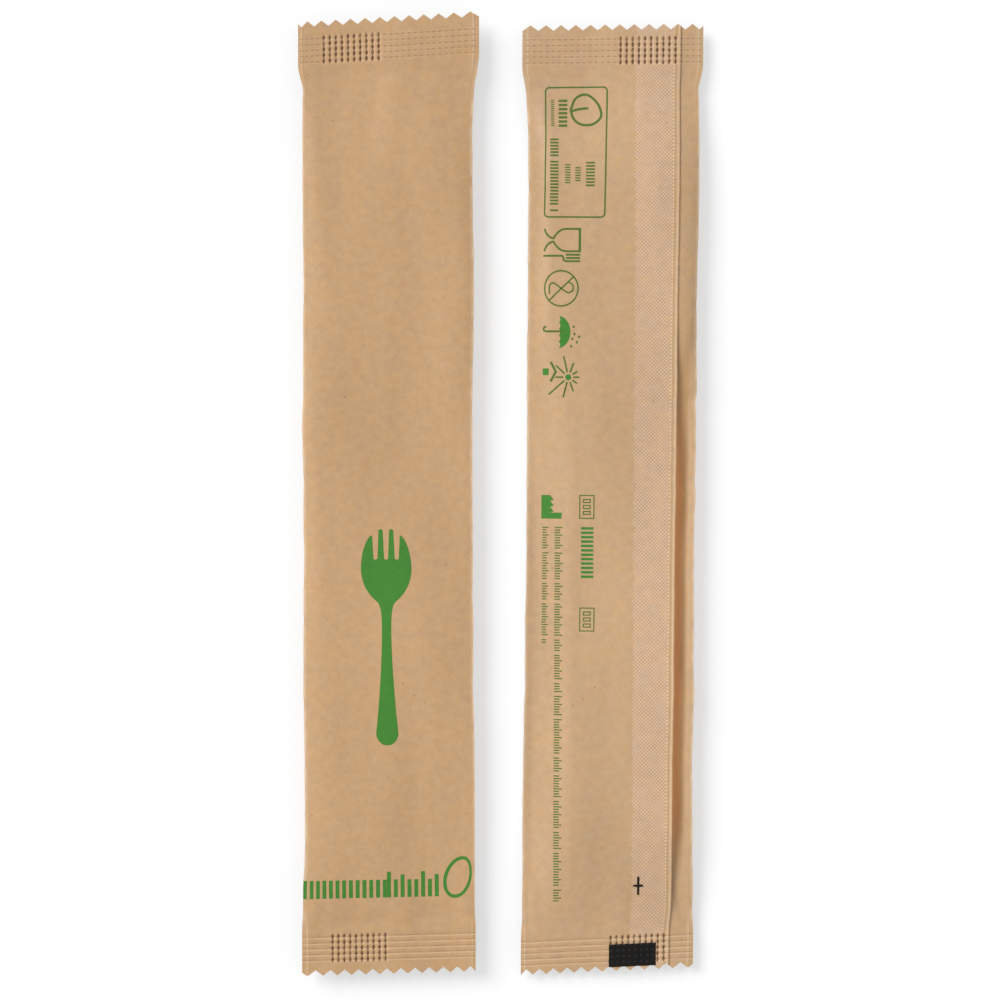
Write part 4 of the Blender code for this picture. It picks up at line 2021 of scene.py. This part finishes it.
    def build(self, name: str, inks: Inks) -> list[Piece]:
        """Prints the back.

        Args:
            name: Start of the pieces' names.
            inks: The inks.

        Returns:
            The pieces.
        """
        frame = Figure.outline(*self.frame_corners, self.line, self.frame_corner)
        for ring in frame:
            ring[:, 0] += self.frame_slant * (ring[:, 1] - self.frame_middle)
        tags = self.tag((-0.00623, -0.00383), (-0.00313, 0.00101))
        tags += self.tag((-0.00598, -0.02665), (-0.00288, -0.02179))
        number = Dashes(-0.0055, -0.0163, -0.00585, 0.0025, 0.00050, 0.00089, 1.0, UNBROKEN)
        long_row = Dashes(-0.0055, -0.0816, -0.01133, 0.00115, 0.00024, 0.00052, 1.45)
        short_row = Dashes(-0.0055, -0.0294, -0.01410, 0.00100, 0.00024, 0.00052, 1.40)
        canopy, umbrella_lines = self.umbrella()
        sun_fill, sun_lines = self.sun()
        prints = {
            "rounded_frame": ([frame], inks.olive),
            "frame_dashes": (self.frame_filling(), inks.olive),
            "glass_figure": (self.glass(), inks.olive),
            "ring_figure": (self.medal(), inks.olive),
            "umbrella_canopy": (canopy, inks.green),
            "umbrella_lines": (umbrella_lines, inks.olive),
            "sun_disc": (sun_fill, inks.green),
            "sun_rays": (sun_lines, inks.olive),
            "works_figure": (self.works(), inks.green),
            "tags": (tags, inks.olive),
            "bold_dashes": (self.row(number), inks.green),
            "long_dashes": (self.row(long_row), inks.olive),
            "short_dashes": (self.row(short_row), inks.olive),
        }
        return [self.printer.lay(f"{name}_{label}", rings, ink) for label, (rings, ink) in prints.items()]


@dataclass
class RegisterMarks:
    """The black marks that a machine reads, printed over the embossed fin."""

    skin: PaperSkin
    film: float = 0.00009
    block_low: Pair = (0.00088, -0.0949)
    block_high: Pair = (0.01075, -0.0903)
    cross_centre: Pair = (0.0066, -0.0784)
    cross_half: Pair = (0.0010, 0.0019)
    cross_line: float = 0.00042

    def patch(self, name: str, low: Point, high: Point, ink: Material) -> Piece:
        """A film of ink that follows the facets of the fin in a rectangle.

        Args:
            name: Name of the piece.
            low: Lowest s and t.
            high: Highest s and t.
            ink: Its material.

        Returns:
            The piece, in the sachet's own frame.
        """
        skin = self.skin
        grid = skin.grid()
        lines = []
        for places, start, end in zip((grid.s[grid.picks(Band.OVER)], skin.rows()[0]), low, high):
            places = places[(places > start) & (places < end)]
            lines.append(keep_apart((np.array([start, end]), places), 2 * HAIR))
        s, t = np.meshgrid(*lines)
        z = skin.height(Band.OVER, s, t)
        layers = [
            np.stack([skin.tube.across(s, t), skin.tube.along(s, t), z + lift], axis=-1).reshape(-1, 3)
            for lift in (self.film, -self.film)
        ]
        wide, count = len(lines[0]), s.size
        quads = [
            (r * wide + c, r * wide + c + 1, (r + 1) * wide + c + 1, (r + 1) * wide + c)
            for r in range(len(lines[1]) - 1)
            for c in range(wide - 1)
        ]
        faces = quads + [tuple(n + count for n in quad[::-1]) for quad in quads]
        faces += [(a, b, b + count, a + count) for a, b in open_edges(quads)]
        sheet = np.stack([s, t], axis=-1).reshape(-1, 2)
        return film_object(name, np.concatenate(layers), faces, np.concatenate([sheet, sheet]), ink)

    def build(self, name: str, ink: Material) -> list[Piece]:
        """Prints the marks.

        Args:
            name: Start of the pieces' names.
            ink: The black ink.

        Returns:
            The pieces.
        """
        (s, t), (half_s, half_t), line = self.cross_centre, self.cross_half, self.cross_line / 2
        spans = {
            "register_block": (self.block_low, self.block_high),
            "register_cross_long": ((s - line, t - half_t), (s + line, t + half_t)),
            "register_cross_left": ((s - half_s, t - line), (s - line, t + line)),
            "register_cross_right": ((s + line, t - line), (s + half_s, t + line)),
        }
        return [self.patch(f"{name}_{label}", low, high, ink) for label, (low, high) in spans.items()]


@dataclass
class Sachet:
    """One wrapped spork: its paper and its print, placed where its solid lies.

    Attributes:
        node: The solid that the paper stands for.
        tube: Its form.
        turn: Its turn on the table.
        colour: Its paper's colour.
    """

    node: str
    tube: Tube
    turn: float
    colour: Colour
    emboss: Emboss = field(default_factory=Emboss)

    def place(self, pieces: Sequence[Piece]) -> None:
        """Moves the pieces to the solid.

        Args:
            pieces: The paper first, then what is printed on it.
        """
        flip = Matrix.Identity(4) if self.tube.back_up else Matrix.Rotation(math.pi, 4, "Y")
        turned = Matrix.Rotation(self.turn, 4, "Z") @ flip
        for piece in pieces:
            piece.data.transform(turned)
        low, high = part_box(self.node)
        corners = np.array([tuple(v.co) for v in pieces[0].data.vertices])
        shift = (np.array(low + high) - corners.min(axis=0) - corners.max(axis=0)) / 2
        shift[2] = self.tube.fold_height
        for piece in pieces:
            piece.data.transform(Matrix.Translation(Vector(shift)))

    def build(self, effects: Effects, inks: Inks) -> list[Piece]:
        """Builds, places and hands over the sachet's pieces.

        Args:
            effects: The shared node groups.
            inks: The inks.

        Returns:
            The pieces.
        """
        skin = PaperSkin(self.tube, self.emboss, f"{self.node}_paper")
        paper = skin.build()
        finish = KraftPaper(f"{self.node}_kraft", self.colour)
        for knurled in (False, True):
            paper.data.materials.append(finish.material(effects, self.tube, self.emboss, knurled))
        pieces = [paper, *self.print_on(skin, inks)]
        self.place(pieces)
        for piece in pieces:
            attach(piece, BODY)
            LOG.info("%s: %d faces", piece.name, len(piece.data.polygons))
        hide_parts(self.node)
        return pieces

    def print_on(self, skin: PaperSkin, inks: Inks) -> list[Piece]:
        """Prints the panel that faces up.

        Args:
            skin: The paper.
            inks: The inks.

        Returns:
            The pieces.
        """
        if not self.tube.back_up:
            return FrontPrint(Printer(self.tube, Side.FRONT)).build(self.node, inks)
        back = BackPrint(Printer(self.tube, Side.BACK)).build(self.node, inks)
        return back + RegisterMarks(skin).build(self.node, inks.black)


@dataclass
class Studio:
    """A white table, soft light from the upper left and a camera straight above."""

    middle: Vector = field(default_factory=lambda: Vector((-0.00028, -0.00124, 0.0020)))
    frame_width: float = 0.2033
    lens: float = 120.0
    sensor: float = 36.0
    sky: float = 0.46
    key_strength: float = 2.45
    key_from: Triple = (-0.77, 0.64, 0.80)
    key_angle: float = math.radians(34)
    fill_strength: float = 0.15
    fill_from: Triple = (1.0, 0.10, 0.47)
    fill_angle: float = math.radians(30)
    floor_size: float = 6.0
    floor_drop: float = 0.00004
    floor_colour: Colour = (0.48, 0.485, 0.49)
    floor_glow: float = 0.55

    def camera(self) -> None:
        """Adds the camera, which sees the photograph's width of the table."""
        data = bpy.data.cameras.new("camera")
        data.lens, data.sensor_width = self.lens, self.sensor
        data.clip_start, data.clip_end = 0.01, 50.0
        made = link_object("camera", data)
        distance = self.frame_width * self.lens / self.sensor
        made.location = self.middle + Vector((0, 0, distance))
        bpy.context.scene.camera = made

    def floor(self) -> None:
        """Adds the white table."""
        half = self.floor_size / 2
        mesh = bpy.data.meshes.new("floor")
        corners = ((-half, -half), (half, -half), (half, half), (-half, half))
        mesh.from_pydata([(*corner, -self.floor_drop) for corner in corners], [], [(0, 1, 2, 3)])
        made, sheet, shader = new_material("white_table", specular=0.0)
        shader.inputs["Base Color"].default_value = (*self.floor_colour, 1.0)
        shader.inputs["Roughness"].default_value = 0.9
        shader.inputs["Emission Color"].default_value = (1.0, 1.0, 1.0, 1.0)
        seen = sheet.node("ShaderNodeLightPath").outputs["Is Camera Ray"]
        glow = sheet.times(seen, self.floor_glow)
        sheet.tree.links.new(glow, shader.inputs["Emission Strength"])
        mesh.materials.append(made)
        link_object("floor", mesh)

    def light(self) -> None:
        """Adds the white surroundings and the soft key light."""
        world = bpy.data.worlds.new("white_room")
        world.use_nodes = True
        sheet = NodeSheet(world.node_tree)
        rays = sheet.node("ShaderNodeLightPath").outputs
        shown = sheet.math("MAXIMUM", rays["Is Camera Ray"], rays["Is Glossy Ray"])
        shown = sheet.math("MAXIMUM", shown, rays["Is Transmission Ray"])
        strength = sheet.ramp(shown, 0.0, 1.0, self.sky, 1.0)
        background = world.node_tree.nodes["Background"]
        background.inputs["Color"].default_value = (1.0, 1.0, 1.0, 1.0)
        sheet.tree.links.new(strength, background.inputs["Strength"])
        bpy.context.scene.world = world
        self.lamp("key", self.key_strength, self.key_angle, self.key_from)
        self.lamp("fill", self.fill_strength, self.fill_angle, self.fill_from)

    @staticmethod
    def lamp(name: str, strength: float, angle: float, come_from: Point) -> None:
        """Adds a far lamp.

        Args:
            name: Its name.
            strength: Its strength.
            angle: How wide it looks.
            come_from: The direction that its light comes from.
        """
        data = bpy.data.lights.new(name, "SUN")
        data.energy, data.angle = strength, angle
        lamp = link_object(name, data)
        lamp.rotation_euler = Vector(come_from).to_track_quat("Z", "Y").to_euler()

    def build(self) -> None:
        """Builds the studio."""
        self.camera()
        self.floor()
        self.light()
        bpy.context.scene.view_settings.view_transform = "Standard"


def stray(*figures: int) -> Stray:
    """A side fold's strays, from places in tenths and strays in hundredths of a millimetre in turn."""
    return tuple((t / 1e4, out / 1e5) for t, out in zip(figures[::2], figures[1::2]))


def main() -> None:
    """Builds the looks of the pack in order."""
    logging.basicConfig(level=logging.INFO, format="%(name)s: %(message)s")
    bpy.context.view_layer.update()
    Studio().build()
    face_up = Tube(
        Knife((math.radians(-1.6), math.radians(-3.5)), (0.0026, 0.0030)),
        back_up=False,
        web_drift=0.00065,
        dents=(
            Dent((-0.0088, -0.0400), (0.0028, 0.0240), 0.03, depth=-0.00012),
            Dent((0.0100, 0.0250), (0.0035, 0.0200), 0.05, depth=-0.00008),
            Dent((0.0128, 0.0480), (0.0018, 0.0120), -0.04, depth=-0.00012),
            Dent((0.0075, -0.0862), (0.0065, 0.0016), 0.06, depth=0.00022),
            Dent((-0.0080, -0.0855), (0.0050, 0.0018), -0.05, depth=0.00014),
            Dent((0.0020, 0.0860), (0.0100, 0.0016), 0.0, depth=0.00012),
            Dent((0.0160, -0.0850), (0.0014, 0.0060), 0.15, depth=-0.00016),
            Dent((-0.0158, -0.0840), (0.0014, 0.0050), -0.15, depth=-0.00016),
        ),
        left_fold=stray(
            -883, 20, -828, 44, -615, 48, -453, 32, -397, 8, -261, 20, -200, 0, -129, 10, 33, -2,
            215, -4, 327, 22, 479, 26, 560, 6, 742, -8, 813, 28, 843, 60, 872, 20,
        ),
        right_fold=stray(
            -883, -12, -834, 10, -786, 10, -753, -16, -696, -28, -484, -14, -393, 6, -174, 0,
            -119, -16, -68, 6, 23, 0, 73, 12, 138, 36, 205, 12, 357, 12, 438, -2, 519, 16, 742, 26,
            813, 18, 872, 0,
        ),
    )
    back_up = Tube(
        Knife((math.radians(3.1), math.radians(1.0)), (0.0015, 0.0024)),
        back_up=True,
        flats=(0.0070, 0.0105, 0.0120),
        drape=1.0,
        fold_height=0.0022,
        lean=0.0017,
        dents=(
            Dent((0.0172, 0.0205), (0.0016, 0.0016), 0.3, depth=0.00025, pull=0.00015),
            Dent((0.0168, 0.0035), (0.0016, 0.0018), -0.2, depth=0.00020, pull=0.00015),
            Dent((0.0158, 0.0335), (0.0013, 0.0060), -0.12, depth=-0.00030),
            Dent((0.0160, -0.0840), (0.0012, 0.0050), 0.5, depth=0.00045),
            Dent((-0.0150, -0.0820), (0.0010, 0.0050), 0.1, depth=-0.00022),
        ),
        left_fold=stray(
            -875, -20, -820, 4, -729, 0, -668, 10, -435, -6, -385, -24, -243, -16, -162, -34,
            0, -28, 203, -24, 314, -14, 385, -24, 527, -18, 608, -24, 746, -6, 791, 20, 839, 52,
            880, 16,
        ),
        right_fold=stray(
            -875, 8, -800, 34, -729, 16, -516, -8, -455, 10, -389, 28, -314, 4, -243, 12, -152, 0,
            -30, 6, 17, 32, 45, 12, 102, 26, 197, 16, 221, 40, 274, 22, 395, 14, 477, 26, 568, 46,
            730, 52, 831, 32, 880, 8,
        ),
    )
    effects = Effects(face_up, Emboss())
    face_up_colour, back_up_colour = (0.556, 0.343, 0.174), (0.560, 0.360, 0.195)
    black = Ink("black_ink", (0.005, 0.0045, 0.004), 0.13, (0.31, 0.44), show_through=0.03)
    inks = Inks(
        green=Ink("green_ink", (0.056, 0.226, 0.032)).material(effects, face_up_colour),
        olive=Ink("green_ink_lines", (0.094, 0.165, 0.030)).material(effects, back_up_colour),
        black=black.material(effects, back_up_colour),
    )
    sachets = (
        Sachet("sachet_face_up", face_up, 0.0, face_up_colour),
        Sachet("sachet_back_up", back_up, math.radians(-0.43), back_up_colour),
    )
    for sachet in sachets:
        pieces = sachet.build(effects, inks)
        LOG.info("%s has %d pieces", sachet.node, len(pieces))


if __name__ == "__main__":
    main()
